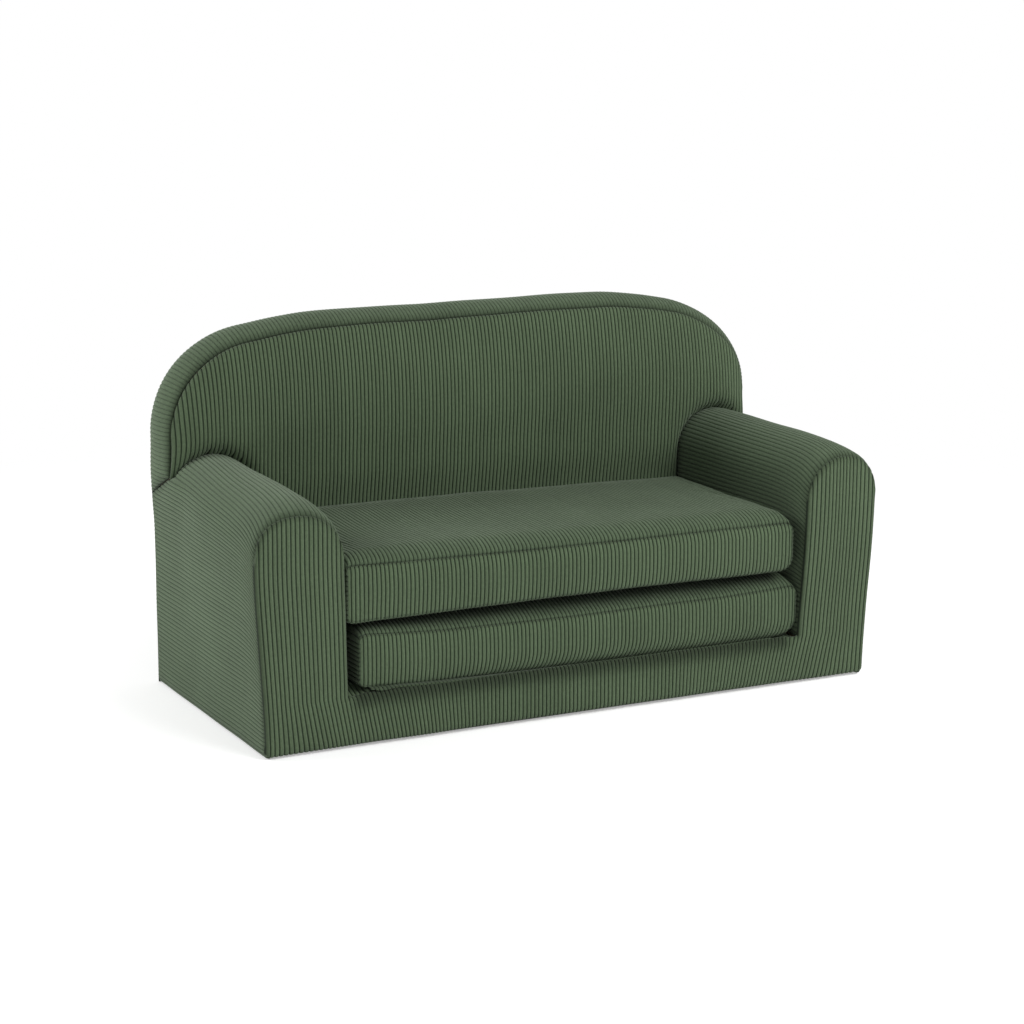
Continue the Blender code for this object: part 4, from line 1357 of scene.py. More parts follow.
def back_top_height(x, inset):
    """Height of the arch over a place across the back."""
    x = np.abs(x)
    corner = BACK_CORNER_RADIUS - inset
    beside = np.sqrt(np.maximum(0.0, corner**2 - (x - BACK_CORNER_X) ** 2))
    top = BACK_TOP_Z + np.sqrt((BACK_TOP_RADIUS - inset) ** 2 - x**2)
    meets = BACK_CORNER_X + corner * math.sin(BACK_TURN)
    return np.where(x > meets, BACK_CORNER_Z + beside, top)


def back_crown(x, z):
    """How far the front panel comes forward: it draws in at the arch, its sides and the arms."""
    x = np.abs(x)
    springing = ARM_CREST - ARM_WIDTH / 2
    over_arm = np.hypot(x - ARM_MIDDLE, np.maximum(0.0, z - springing)) - ARM_WIDTH / 2
    from_arm = np.where(z > springing, over_arm, BAY_HALF - x)
    from_top = back_top_height(x, PANEL_INSET) - z
    crown = rounded(from_arm, ARM_TUCK) * rounded(BODY_HALF - x, SIDE_TUCK)
    full = lerp(SEAT_CROWN, BACK_CROWN, grow(z, *CROWN_HEIGHTS))
    return full * crown * rounded(from_top, TOP_TUCK_LENGTH)


print("the back's wales end under an arch", round(float(back_top_height(0.0, 0.0)), 3), "high in the middle")

# %% [markdown]
# Front and rear panel share one rule: upright wales from a foot to the arch, with a crown only in
# front. The back's foam swells forward, and the front panel follows it.

# %% Back front panel and its foam
BACK_MIDDLE = (0.0, (BACK_SEAM_Y + REAR) / 2, 0.2)
BACK_SWELL_CAP = 0.0030
BACK_SWELLS_UP = (0.26, 0.32)
BACK_SWELLS_AHEAD = (0.15, 0.12)
BACK_SWELLS_BELOW_ARCH = 0.08
BACK_SWELLS_WITHIN = BODY_HALF - 0.001


def back_panel(name, foot, face_y, crowned, windows=(), levels=(), **finish):
    half = BODY_HALF - PANEL_INSET

    def breaks(across):
        x = lerp(-half, half, across / BACK_WALES)
        rows = [np.full_like(across, level - foot) for level in levels]
        return [np.zeros_like(across), *rows, back_top_height(x, PANEL_INSET) - foot]

    def surface(across, along):
        x = lerp(-half, half, across / BACK_WALES)
        z = foot + along
        y = face_y - back_crown(x, z) if crowned else np.full_like(x, face_y)
        return np.stack([x, y, z], axis=-1)

    return corduroy_panel(name, BACK_WALES, breaks, surface, BACK_MIDDLE, windows, **finish)


def back_room(points):
    """The back swells towards the front, above the arms and away from its arch."""
    x, y, z = points[..., 0], points[..., 1], points[..., 2]
    arch = back_top_height(np.minimum(np.abs(x), BACK_SWELLS_WITHIN), 0.0)
    return grow(z, *BACK_SWELLS_UP) * grow(y, *BACK_SWELLS_AHEAD) * ease((arch - z) / BACK_SWELLS_BELOW_ARCH)


back_core = FoamCore("back_foam", BACK_SWELL_CAP, stood, back_room)
front_finish = dict(core=back_core, roll_depth=0.0026, roll_width=0.007)
settle_in(back_panel("back_front_panel", INNER_FOOT, BACK_SEAM_Y, True, **front_finish), "body")
finish_core(back_core, "body")

# %% [markdown]
# The rear panel is flat, and low in it is a slot for the zip that lets the cover off. Two extra rows
# of points mark the slot's edges, and the cells between them are a window. Nobody looks at the rear
# closely, so its wales have fewer columns.

# %% Back rear panel, with its zip's slot
REAR_INSET = 0.0003
BODY_ZIP_HEIGHT = 0.032
ZIP_SLOT_HALF = 0.0045
BODY_ZIP_WALES = 62


def zip_slot(z, wales, zip_wales):
    """The window and the levels of a slot in the middle of a panel, for a zip at a height."""
    window = [(1, wales // 2 - zip_wales, wales // 2 + zip_wales)]
    return window, (z - ZIP_SLOT_HALF, z + ZIP_SLOT_HALF)


slot = zip_slot(BODY_ZIP_HEIGHT, BACK_WALES, BODY_ZIP_WALES)
rear_finish = dict(fine=False, spacing=0.014, roll_depth=0.0012, roll_width=0.003)
settle_in(back_panel("back_rear_panel", SEAM_GAP, REAR - REAR_INSET, False, *slot, **rear_finish), "body")

# %% [markdown]
# The band between the two panels follows the arch: over the top, round the corners and down the
# sides, until it ends in a point against the arm's wrap. Its bulge grows towards the top.

# %% Back border band
BAND_CROWN_TOP = 0.0130
BAND_CROWN_SIDE = 0.003
BAND_CROWN_FOOT = 0.4
BAND_CROWN_RISE = 5
BAND_LAST_SHARE = 0.94
BAND_FRONT_GAP = 0.0002
BAND_REAR_GAP = 0.0012
BAND_SEAMS = dict(spacing=0.006, relief=0.0010, roll_depth=0.0034, roll_width=0.009)


def band_foot(share):
    return lerp(SIDE_SEAM_HIGH, SIDE_SEAM_LOW, share) + 2 * SEAM_GAP


def back_skin(reach, out):
    """(x, z) on the arch at a distance from its middle, pushed outwards."""
    way = np.sign(reach)
    reach = np.abs(reach)
    on_top = np.minimum(reach, TOP_REACH) / BACK_TOP_RADIUS
    x = (BACK_TOP_RADIUS + out) * np.sin(on_top)
    z = BACK_TOP_Z + (BACK_TOP_RADIUS + out) * np.cos(on_top)
    round_corner = BACK_TURN + np.clip(reach - TOP_REACH, 0, CORNER_REACH) / BACK_CORNER_RADIUS
    past = reach > TOP_REACH
    x = np.where(past, BACK_CORNER_X + (BACK_CORNER_RADIUS + out) * np.sin(round_corner), x)
    z = np.where(past, BACK_CORNER_Z + (BACK_CORNER_RADIUS + out) * np.cos(round_corner), z)
    return way * x, z - np.maximum(0.0, reach - TOP_REACH - CORNER_REACH)


def border_band():
    full = TOP_REACH + CORNER_REACH + BACK_CORNER_Z - band_foot(BAND_LAST_SHARE)
    half_wales = round(full / WALE)
    half_wales = round(full / WALE)
    depth = REAR - BACK_SEAM_Y

    def breaks(across):
        height = back_skin((across / half_wales - 1) * full, 0.0)[1]
        past = (band_foot(0.0) - height) / (SIDE_SEAM_HIGH - SIDE_SEAM_LOW)
        start = np.maximum(BAND_FRONT_GAP, depth * np.clip(past, 0, BAND_LAST_SHARE))
        return [start, np.full_like(across, depth - BAND_REAR_GAP)]

    def surface(across, along):
        reach = (across / half_wales - 1) * full
        up = np.clip((back_skin(reach, 0.0)[1] - SIDE_SEAM_LOW) / (BACK_SEAM_TOP - SIDE_SEAM_LOW), 0, 1)
        crown = lerp(BAND_CROWN_SIDE, BAND_CROWN_TOP, ease(up)) * ease(BAND_CROWN_FOOT + BAND_CROWN_RISE * up)
        x, z = back_skin(reach, crown * hump(along / depth))
        return np.stack([x, BACK_SEAM_Y + along, z], axis=-1)

    finish = dict(material=corduroy_across_light_and_shade, **BAND_SEAMS)
    return corduroy_panel("back_border_band", 2 * half_wales, breaks, surface, BACK_MIDDLE, **finish)


settle_in(border_band(), "body")

# %% [markdown]
# ## The seat slabs
#
# Each slab is a foam block in a boxed cover. Its top cover wraps over both ends, with wales from
# front to rear; a bottom cover and narrow front and rear panels close it. Nothing on a soft slab is
# straight, so after the plain shape two things are added: its crown, and how it has settled. The
# lower slab's front edge hangs between its corners and rolls under, and the upper slab lies over it.

# %% The slabs' shapes
COVER_FRONT_GAP = 0.0017
COVER_REAR_GAP = 0.0022
REAR_SHOULDER = 0.010
END_SHOULDER = 0.015
CROWN_FALL = 0.12
TUCK_HEIGHT = 0.026
TUCK_DEPTH = 0.05
TOP_TUCK = 0.0030
TOP_TUCK_HEIGHT = 0.014
PULL_DEPTH = 0.03
PULL_SPAN = (-0.2, -0.05)
REAR_RISE_SPAN = (-0.06, 0.07)
CORE_END_SLACK = 0.004
CORE_FRONT_SLACK = 0.002
CORE_INSET = 0.0075
CORE_FRONT = (SLAB_FRONT + 0.03, SLAB_FRONT)
SLAB_SWELLS_FRONT = (SLAB_FRONT + 0.03, SLAB_FRONT + 0.01)
SLAB_SWELLS_TOP = 0.02


@dataclass
class Slab:
    """One slab's measures, and how it has settled in use.

    Pairs are (left, right). The drops and the tuck are read at LOWER_SPOTS across the front: how far
    the seams hang, and how far the front's foot goes back.
    """

    name: str
    bottom: float
    top: float
    bottom_crown: float
    top_crown: float
    shoulder: float
    bottom_corners: tuple
    top_corners: tuple
    bottom_drop: tuple
    top_drop: tuple
    tuck: tuple
    pull: float
    ends: tuple
    droop_depth: float
    rear_rise: tuple
    front_swell: float = 0.4

    def crown(self, x, y):
        """How full the slab is at a place: it rounds down at its edges."""
        full = rounded(y - SLAB_FRONT - COVER_FRONT_GAP, self.shoulder)
        full = full * rounded(SLAB_REAR - COVER_REAR_GAP - y, REAR_SHOULDER)
        full = full * rounded(SLAB_HALF - np.abs(x), END_SHOULDER)
        return full * (1 - CROWN_FALL * (x / SLAB_HALF) ** 2)

    def settle(self, x, y, z):
        """Adds the crown, the hanging front edge, the tucked foot and the set-back end."""
        draw = SLAB_END_DRAW * hump(np.clip((y - SLAB_FRONT) / (SLAB_REAR - SLAB_FRONT), 0, 1))
        crown = self.crown(x, y)
        middle, half = (self.bottom + self.top) / 2, (self.top - self.bottom) / 2
        up, down = ease((z - middle) / half), ease((middle - z) / half)
        level = np.clip((z - self.bottom) / (self.top - self.bottom), 0, 1)
        hang = ease((SLAB_FRONT + self.droop_depth - y) / self.droop_depth)
        top, bottom, tuck = [
            smooth_steps(x, LOWER_SPOTS, values, DROOP_SMOOTHING)
            for values in (self.top_drop, self.bottom_drop, self.tuck)
        ]
        foot = rolled(z - self.bottom, TUCK_HEIGHT)
        back = tuck * foot + TOP_TUCK * rolled(self.top - z, TOP_TUCK_HEIGHT)
        x = x - self.pull * grow(x, *PULL_SPAN) * foot * grow(y, SLAB_FRONT + PULL_DEPTH, SLAB_FRONT)
        y = y + back * grow(y, SLAB_FRONT + TUCK_DEPTH, SLAB_FRONT)
        z = z + (self.top_crown * up - self.bottom_crown * down) * crown
        z = z + top * level * hang + bottom * (1 - level) * droop_fade(y)
        rise = lerp(*self.rear_rise, (x + SLAB_HALF) / (2 * SLAB_HALF))
        z = z + rise * up * grow(y, *REAR_RISE_SPAN)
        x = x * (1 - draw / SLAB_HALF)
        x = lerp(*self.ends, (x + SLAB_HALF) / (2 * SLAB_HALF))
        return np.stack([x, y, z], axis=-1)

    def middle(self):
        return (0.0, (SLAB_FRONT + SLAB_REAR) / 2, (self.bottom + self.top) / 2)

    def foam_settle(self, points):
        """The foam keeps within the cover: a little shorter at the ends and the front."""
        x, y, z = points.T
        x = x * (SLAB_HALF - CORE_END_SLACK) / SLAB_HALF
        y = y + CORE_FRONT_SLACK * grow(y, *CORE_FRONT)
        return self.settle(x, y, np.clip(z, self.bottom + CORE_INSET, self.top - CORE_INSET))

    def room(self, points):
        """A slab swells where nothing lies against it: the upper one's top, and both fronts."""
        y, z = points[..., 1], points[..., 2]
        front = grow(y, *SLAB_SWELLS_FRONT)
        above = grow(z, self.top - SLAB_SWELLS_TOP, self.top) if self.name == "upper_slab" else 0.0
        return np.maximum(self.front_swell * front, above)


print("a slab is", round(SLAB_REAR - SLAB_FRONT, 4), "m deep and up to", 2 * SLAB_HALF, "m wide")

# %% [markdown]
# The two slabs differ in how they have settled. The lower one is squeezed by the other: its front
# hangs, its foot is pushed back, and it has moved to the right. The upper one stays fuller, and its
# left rear corner stands up a little.

# %% The two slabs
lower_slab = Slab(
    name="lower_slab",
    bottom=0.0665,
    top=0.1255,
    bottom_crown=0.0,
    top_crown=0.0095,
    shoulder=0.038,
    bottom_corners=(0.009, 0.021),
    top_corners=(0.010, 0.009),
    bottom_drop=LOWER_BOTTOM_DROP,
    top_drop=(0.0010, -0.0055, -0.0080, -0.0095, -0.0090, -0.0095, -0.0055),
    tuck=(0.001, 0.005, 0.010, 0.013, 0.014, 0.013, 0.011),
    pull=0.008,
    ends=(-0.2775, 0.3005),
    droop_depth=0.060,
    rear_rise=(0.0, 0.0),
)
upper_slab = Slab(
    name="upper_slab",
    bottom=0.141,
    top=0.1995,
    bottom_crown=0.003,
    top_crown=0.0135,
    shoulder=0.026,
    bottom_corners=(0.009, 0.016),
    top_corners=(0.006, 0.008),
    bottom_drop=(0.0, 0.0006, 0.0010, 0.0012, 0.0008, -0.0004, -0.0020),
    top_drop=(0.0055, 0.0035, 0.0015, 0.0, -0.0008, -0.0012, -0.0016),
    tuck=(0.000, 0.001, 0.002, 0.003, 0.004, 0.005, 0.006),
    pull=0.0,
    ends=(-0.2918, 0.2940),
    droop_depth=0.110,
    rear_rise=(0.0070, -0.0012),
)
print("slabs:", lower_slab.name, lower_slab.top, upper_slab.name, upper_slab.top)

# %% [markdown]
# A cover's rule walks from the slab's middle to an end, round the corner and down, so its wales run on
# over the edge. Under the upper slab, the lower slab's top gets painted shadow, for the dark gap
# between them.

# %% Slab covers
SLAB_SEAMS = dict(roll_depth=0.0010, roll_width=0.0035, stitch_inset=0.0022)
STITCHED = dict(fine=True, stitch_depth=0.0008, **SLAB_SEAMS)
PLAIN = dict(fine=False, stitch_depth=0.0, **SLAB_SEAMS)
SEEN_COVER = dict(spacing=0.008, **STITCHED)
HIDDEN_COVER = dict(spacing=0.012, **PLAIN)
# Painted shadow in the gap under the upper slab: its strength, and where it starts behind the front and
# inside the ends.
LOWER_TOP_PAINTED_SHADOW = 1.3
GAP_SHADOW_BEHIND = (SLAB_FRONT + 0.003, SLAB_FRONT + 0.023)
GAP_SHADOW_INSIDE = (SLAB_HALF - 0.004, SLAB_HALF - 0.016)


def painted_gap_shadow(points):
    """Painted shadow on the lower slab's top, in the gap under the upper slab, but not on its ends."""
    x, y = points[..., 0], points[..., 1]
    return LOWER_TOP_PAINTED_SHADOW * grow(y, *GAP_SHADOW_BEHIND) * grow(np.abs(x), *GAP_SHADOW_INSIDE)


def slab_cover(slab, over, core):
    """The cover over a slab and down its ends, or the one under it."""
    near, far = (slab.top_corners, slab.bottom_corners)[:: 1 if over else -1]
    start = SLAB_FRONT + COVER_FRONT_GAP
    sides = [slab.top - slab.bottom - n - f - SEAM_GAP if over else 0.0 for n, f in zip(near, far)]
    fulls = [SLAB_HALF - n + n * QUARTER + side for n, side in zip(near, sides)]
    counts = [round(full / WALE) for full in fulls]

    def surface(across, along):
        left = across < counts[0]
        radius = np.where(left, *near)
        reach = np.abs(across - counts[0]) * np.where(left, fulls[0] / counts[0], fulls[1] / counts[1])
        flat = SLAB_HALF - radius
        angle = np.clip((reach - flat) / radius, 0, QUARTER)
        x = np.minimum(reach, flat) + radius * np.sin(angle)
        down = radius * (1 - np.cos(angle)) + np.maximum(0.0, reach - flat - radius * QUARTER)
        z = slab.top - down if over else slab.bottom + down
        return slab.settle(np.where(left, -x, x), start + along, z)

    name = slab.name + ("_top_cover" if over else "_bottom_cover")
    ends = straight_ends(SLAB_REAR - COVER_REAR_GAP - start)
    pressed = painted_gap_shadow if slab is lower_slab and over else None
    sewn = SEEN_COVER if over else HIDDEN_COVER
    finish = dict(core=core, material=corduroy_across_light_and_shade, pressed=pressed, **sewn)
    return corduroy_panel(name, sum(counts), ends, surface, slab.middle(), on_body=False, **finish)


print("a slab's seams are stitched", 1000 * SLAB_SEAMS["stitch_inset"], "mm from the edge")

# %% [markdown]
# The front and rear panels are strips between rounded corners, and swell a little between their seams.
# The rear one has a slot for its zip.

# %% Slab fronts and rears
SLAB_WALES = 114
SLAB_ZIP_WALES = 44
SLAB_SWELL_CAP = 0.003
FACE_INSET = 0.0012
FACE_SWELL = 0.0016
FACE_SPACING = 0.006
CORNER_GAP = 0.0004
FRONT_FACE_Y = SLAB_FRONT + 0.0016
REAR_FACE_Y = SLAB_REAR - 0.0006


def slab_face(slab, front, core, windows=(), levels=()):
    """The front or rear panel, as high as the slab's edge, with rounded corners."""
    half = SLAB_HALF - FACE_INSET

    def corner_cut(x, radii):
        radius = np.where(x < 0, *radii)
        beside = np.maximum(0.0, np.abs(x) - (half - radius))
        return radius - np.sqrt(np.maximum(0.0, radius**2 - beside**2)) - CORNER_GAP

    def breaks(across):
        x = lerp(-half, half, across / SLAB_WALES)
        rows = [np.full_like(across, level - slab.bottom) for level in levels]
        high = slab.top - slab.bottom - corner_cut(x, slab.top_corners)
        return [corner_cut(x, slab.bottom_corners), *rows, high]

    def surface(across, along):
        x = lerp(-half, half, across / SLAB_WALES)
        swell = FACE_SWELL * hump(along / (slab.top - slab.bottom)) * (1 - (x / half) ** 4)
        y = FRONT_FACE_Y - swell if front else np.full_like(x, REAR_FACE_Y)
        return slab.settle(x, y, slab.bottom + along)

    name = slab.name + ("_front_panel" if front else "_rear_panel")
    finish = dict(windows=windows, spacing=FACE_SPACING, core=core, **(STITCHED if front else PLAIN))
    return corduroy_panel(name, SLAB_WALES, breaks, surface, slab.middle(), on_body=False, **finish)


for slab in (lower_slab, upper_slab):
    core = FoamCore(slab.name + "_foam", SLAB_SWELL_CAP, slab.foam_settle, slab.room)
    slot = zip_slot(slab.middle()[2], SLAB_WALES, SLAB_ZIP_WALES)
    settle_in(slab_cover(slab, True, core), slab.name)
    settle_in(slab_cover(slab, False, core), slab.name)
    settle_in(slab_face(slab, True, core), slab.name)
    settle_in(slab_face(slab, False, None, *slot), slab.name)
    finish_core(core, slab.name)

# %% [markdown]
# ## The hinge webs
#
# A folded strip of the same cloth joins the lower slab to the base in front, and another joins the
# two slabs behind. Each is a small loop of cloth that opens when the seat unfolds. A table lists the
# two bodies each one joins and where it is sewn to each.

# %% The hinge web's rule
WEB_WALES = 106
WEB_LENGTH = 0.014
# The webs' wide roll width spreads the seams' painted shade over the whole strip.
WEB_SEAMS = dict(relief=0.0009, roll_depth=0.0, roll_width=0.012)
WEB_CLOTH = dict(spacing=0.001, unevenness=0.0, thickness=0.0016, **WEB_SEAMS)


def hinge_web(name, first, last, bulge, hang=lambda x: 0.0, pressed=None):
    """A strip that leaves its first edge, loops out along Y by a bulge, and comes back to its last."""

    def surface(across, along):
        x = lerp(-WEB_HALF, WEB_HALF, across / WEB_WALES)
        share = along / WEB_LENGTH
        (y0, z0), (y3, z3) = first(x), last(x)
        out, low = bulge(x), hang(x)
        a, b, c, d = (1 - share) ** 3, 3 * share * (1 - share) ** 2, 3 * share**2 * (1 - share), share**3
        y = a * y0 + b * (y0 + out) + c * (y3 + out) + d * y3
        z = a * z0 + b * (z0 - low) + c * (z3 - low) + d * z3
        return np.stack([x, y, z], axis=-1)

    start = surface(np.array([WEB_WALES / 2]), np.zeros(1))[0]
    stop = surface(np.array([WEB_WALES / 2]), np.array([WEB_LENGTH]))[0]
    inside = (start + stop) / 2 - np.array([0.0, bulge(np.zeros(1))[0] * 4, 0.0])
    finish = dict(on_body=False, pressed=pressed, **WEB_CLOTH)
    return corduroy_panel(name, WEB_WALES, straight_ends(WEB_LENGTH), surface, tuple(inside), **finish)


print("a web is", WEB_LENGTH, "m of cloth from edge to edge")

# %% [markdown]
# In front, the web lies between the rail and the slab, where it shows as a fold, darkened all over by
# painted shade. It shows most at its left end, which curls. Behind, it is a short loop between the
# slabs' rear edges.

# %% Front and rear hinge webs
WEB_RAIL_Y = -0.1700
WEB_SLAB_Y = -0.1620
WEB_FRONT_Z = 0.0640
WEB_REAR_Y = 0.099
WEB_REAR_Z = (0.1245, 0.1430)
WEB_OVER_RAIL = -0.0010
WEB_OVER_DECK = 0.0008
WEB_OVER_SLAB = 0.0006
WEB_BEHIND_FACE = 0.0030
WEB_BELOW_TOP, WEB_ABOVE_BOTTOM = 0.001, 0.002
REAR_BULGE = 0.0045
# Painted shade over the front web, in its shadow between the slab and the rail.
FOLD_PAINTED_SHADE = 0.75
LEFT_CURL = (-0.250, 0.012)
LEFT_CURL_HANGS = (-0.250, 0.014)
LEFT_PART = (-0.08, -0.18)
RIGHT_FOLD = (0.205, 0.050)
FOLD_OUT, CURL_OUT, LEFT_OUT, RIGHT_OUT = 0.0036, 0.0040, 0.0034, 0.0030
FOLD_HANG, CURL_HANG, RIGHT_HANG = 0.0008, 0.0030, 0.0026


def web_on_rail(x):
    deck = DECK_TOP + bottom_droop(x)
    return np.full_like(x, WEB_RAIL_Y), np.maximum(rail_top(x) + WEB_OVER_RAIL, deck + WEB_OVER_DECK)


def web_on_slab(x):
    tuck = smooth_steps(x, LOWER_SPOTS, lower_slab.tuck, DROOP_SMOOTHING)
    y = np.maximum(SLAB_FRONT + WEB_BEHIND_FACE + tuck, WEB_SLAB_Y)
    return y, lower_slab.bottom + bottom_droop(x) + WEB_OVER_SLAB


def front_bulge(x):
    """The web shows most at its left end, where it curls, and a little towards its right end."""
    left = CURL_OUT * bump(x, *LEFT_CURL) + LEFT_OUT * grow(x, *LEFT_PART)
    return -FOLD_OUT - left - RIGHT_OUT * bump(x, *RIGHT_FOLD)


def front_hang(x):
    return FOLD_HANG + CURL_HANG * bump(x, *LEFT_CURL_HANGS) + RIGHT_HANG * bump(x, *RIGHT_FOLD)


def rear_seam(height):
    return lambda x: (np.full_like(x, SLAB_REAR + 0.0010), np.full_like(x, height))


def painted_fold_shade(points):
    """Painted shade over the whole front web, which lies in shadow between the slab and the rail."""
    return np.full(points.shape[:-1], FOLD_PAINTED_SHADE)


front_web = hinge_web("front_hinge_web", web_on_rail, web_on_slab, front_bulge, front_hang, painted_fold_shade)
rear_web = hinge_web(
    "rear_hinge_web",
    rear_seam(lower_slab.top - WEB_BELOW_TOP),
    rear_seam(upper_slab.bottom + WEB_ABOVE_BOTTOM),
    lambda x: np.full_like(x, REAR_BULGE),
)
blends = (
    # web, its two bodies, and the Y and Z where it is sewn to each
    (front_web, "body", "lower_slab", (WEB_RAIL_Y, WEB_FRONT_Z), (WEB_SLAB_Y, WEB_FRONT_Z)),
    (rear_web, "lower_slab", "upper_slab", (WEB_REAR_Y, WEB_REAR_Z[0]), (WEB_REAR_Y, WEB_REAR_Z[1])),
)
for web, first_body, last_body, start, end in blends:
    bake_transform(web)
    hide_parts(web.name.removesuffix("_cloth"))

# %% [markdown]
# ## Woven finishes
#
# The underside, the zips' tapes and the thread are all fine dark weaves, and differ in colour, gloss
# and count. Two sine waves that cross make warp and weft, and a cloud of noise keeps them from looking
# printed.

# %% Woven finishes
WEAVE_TONE = (0.15, 0.65)
WEAVE_CLOUDS = (60.0, 0.7)
WEAVE_GLOSS = 0.25
WEAVE_RELIEF = {"Strength": 0.4, "Distance": 0.0003}


def woven_material(name, color, roughness, threads):
    """Dark cloth, thread or rubber, with a fine weave of crossing threads, so many to a metre."""
    finish = {"Roughness": roughness, "Specular IOR Level": WEAVE_GLOSS}
    material, tree, shader = new_material(name, finish)
    place = add_node(tree, "ShaderNodeTexCoord").outputs["Object"]
    split = add_node(tree, "ShaderNodeSeparateXYZ", {0: place}).outputs
    warp = reckon(tree, "SINE", reckon(tree, "MULTIPLY", split["X"], 2 * math.pi * threads))
    depth = reckon(tree, "ADD", split["Y"], split["Z"])
    weft = reckon(tree, "SINE", reckon(tree, "MULTIPLY", depth, 2 * math.pi * threads))
    weave = reckon(tree, "MULTIPLY", warp, weft)
    woven = reckon(tree, "MULTIPLY_ADD", weave, *WEAVE_TONE)
    cloud_scale, cloud_gain = WEAVE_CLOUDS
    gain = reckon(tree, "MULTIPLY_ADD", noise(tree, place, cloud_scale), cloud_gain, woven)
    tone = add_node(tree, "ShaderNodeVectorMath", {0: color, "Scale": gain}, operation="SCALE")
    relief = add_node(tree, "ShaderNodeBump", {**WEAVE_RELIEF, "Height": weave})
    tree.links.new(tone.outputs[0], shader.inputs["Base Color"])
    tree.links.new(relief.outputs[0], shader.inputs["Normal"])
    return material


black_cloth = woven_material("black non-slip cloth", (0.012, 0.012, 0.012), 0.9, 900.0)
rubber = woven_material("black rubber dots", (0.02, 0.02, 0.02), 0.6, 300.0)
print("materials:", black_cloth.name, "and", rubber.name)

# %% [markdown]
# ## The underside
#
# A thin black cloth closes the bottom, and small rubber dots on it keep the sofa from sliding. Dots
# on a grid are one instance repeated, so Geometry Nodes lay them out from a width, a depth and a
# spacing; each dot is a low six-sided cone, because there are thousands of them.

# %% The tree of grip dots
UNDERSIDE_WIDTH = 0.7600
UNDERSIDE_DEPTH = 0.3300
UNDERSIDE_TOP = 0.0016
UNDERSIDE_BOTTOM = 0.0006
DOT_SPACING = 0.010
DOT_RADIUS = 0.0012
DOT_TAPER = 0.7
DOT_SIDES = 6


def dot_tree():
    tree = bpy.data.node_groups.new("grip dots", "GeometryNodeTree")
    open_sockets(
        tree,
        "INPUT",
        ("Geometry", "Geometry"),
        ("Width", "Float", UNDERSIDE_WIDTH),
        ("Depth", "Float", UNDERSIDE_DEPTH),
        ("Spacing", "Float", DOT_SPACING),
        ("Radius", "Float", DOT_RADIUS),
        ("Height", "Float", UNDERSIDE_BOTTOM),
        ("Rubber", "Material"),
    )
    open_sockets(tree, "OUTPUT", ("Geometry", "Geometry"))
    given = add_node(tree, "NodeGroupInput").outputs
    margins = reckon(tree, "MULTIPLY", given["Spacing"], 2.0)
    sizes = {}
    for axis, extent in (("X", "Width"), ("Y", "Depth")):
        size = reckon(tree, "SUBTRACT", given[extent], margins)
        sizes["Size " + axis] = size
        sizes["Vertices " + axis] = reckon(tree, "ROUND", reckon(tree, "DIVIDE", size, given["Spacing"]))
    grid = add_node(tree, "GeometryNodeMeshGrid", sizes).outputs["Mesh"]
    cone = {
        "Vertices": DOT_SIDES,
        "Radius Top": given["Radius"],
        "Radius Bottom": reckon(tree, "MULTIPLY", given["Radius"], DOT_TAPER),
        "Depth": given["Height"],
    }
    dot = add_node(tree, "GeometryNodeMeshCone", cone).outputs["Mesh"]
    laid = add_node(tree, "GeometryNodeInstanceOnPoints", {"Points": grid, "Instance": dot}).outputs[0]
    end_tree(tree, laid, given["Rubber"])
    return tree


dots_tree = dot_tree()
print("tree:", dots_tree.name, "with", len(dots_tree.nodes), "nodes")

# %% [markdown]
# The cloth is a flat sheet, stretched over the base's foam. Its mesh is two layers of even squares,
# with a rim that closes it.

# %% Underside cloth and its dots
SHEET_COLUMNS, SHEET_ROWS = 40, 18
DOT_FACES = DOT_SIDES + 2


def underside_sheet():
    columns, rows = SHEET_COLUMNS, SHEET_ROWS
    sheet = bmesh.new()
    for z in (UNDERSIDE_BOTTOM, UNDERSIDE_TOP):
        for y in np.linspace(-0.5, 0.5, rows + 1) * UNDERSIDE_DEPTH:
            for x in np.linspace(-0.5, 0.5, columns + 1) * UNDERSIDE_WIDTH:
                sheet.verts.new((x, y, z))
    sheet.verts.ensure_lookup_table()

    def face(*places):
        sheet.faces.new([sheet.verts[(k * (rows + 1) + j) * (columns + 1) + i] for i, j, k in places])

    for j in range(rows):
        for i in range(columns):
            face((i, j, 0), (i, j + 1, 0), (i + 1, j + 1, 0), (i + 1, j, 0))
            face((i, j, 1), (i + 1, j, 1), (i + 1, j + 1, 1), (i, j + 1, 1))
    for i in range(columns):
        face((i, 0, 0), (i + 1, 0, 0), (i + 1, 0, 1), (i, 0, 1))
        face((i, rows, 0), (i, rows, 1), (i + 1, rows, 1), (i + 1, rows, 0))
    for j in range(rows):
        face((0, j, 0), (0, j, 1), (0, j + 1, 1), (0, j + 1, 0))
        face((columns, j, 0), (columns, j + 1, 0), (columns, j + 1, 1), (columns, j, 1))
    mesh = bpy.data.meshes.new("underside_cloth_sheet")
    sheet.to_mesh(mesh)
    sheet.free()
    obj = bpy.data.objects.new("underside_cloth_sheet", mesh)
    scene.collection.objects.link(obj)
    return obj


underside = underside_sheet()
underside.data.materials.append(black_cloth)
dots = bpy.data.objects.new("underside_dots", bpy.data.meshes.new("underside_dots"))
run_tree(dots, dots_tree, rubber=rubber)
for piece in (underside, dots):
    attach(piece, "body")
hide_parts("underside_cloth")
print("dots:", len(dots.data.polygons) // DOT_FACES)

# %% [markdown]
# ## Rows of beads: zip teeth and stitches
#
# A closed nylon zip is two rows of small loops side by side, and a line of stitches is a row of short
# threads. Both are the same rule: walk along a path, and set down a small long bead at even steps.
# One Geometry Nodes tree does it, from a path, a spacing and a bead's size.

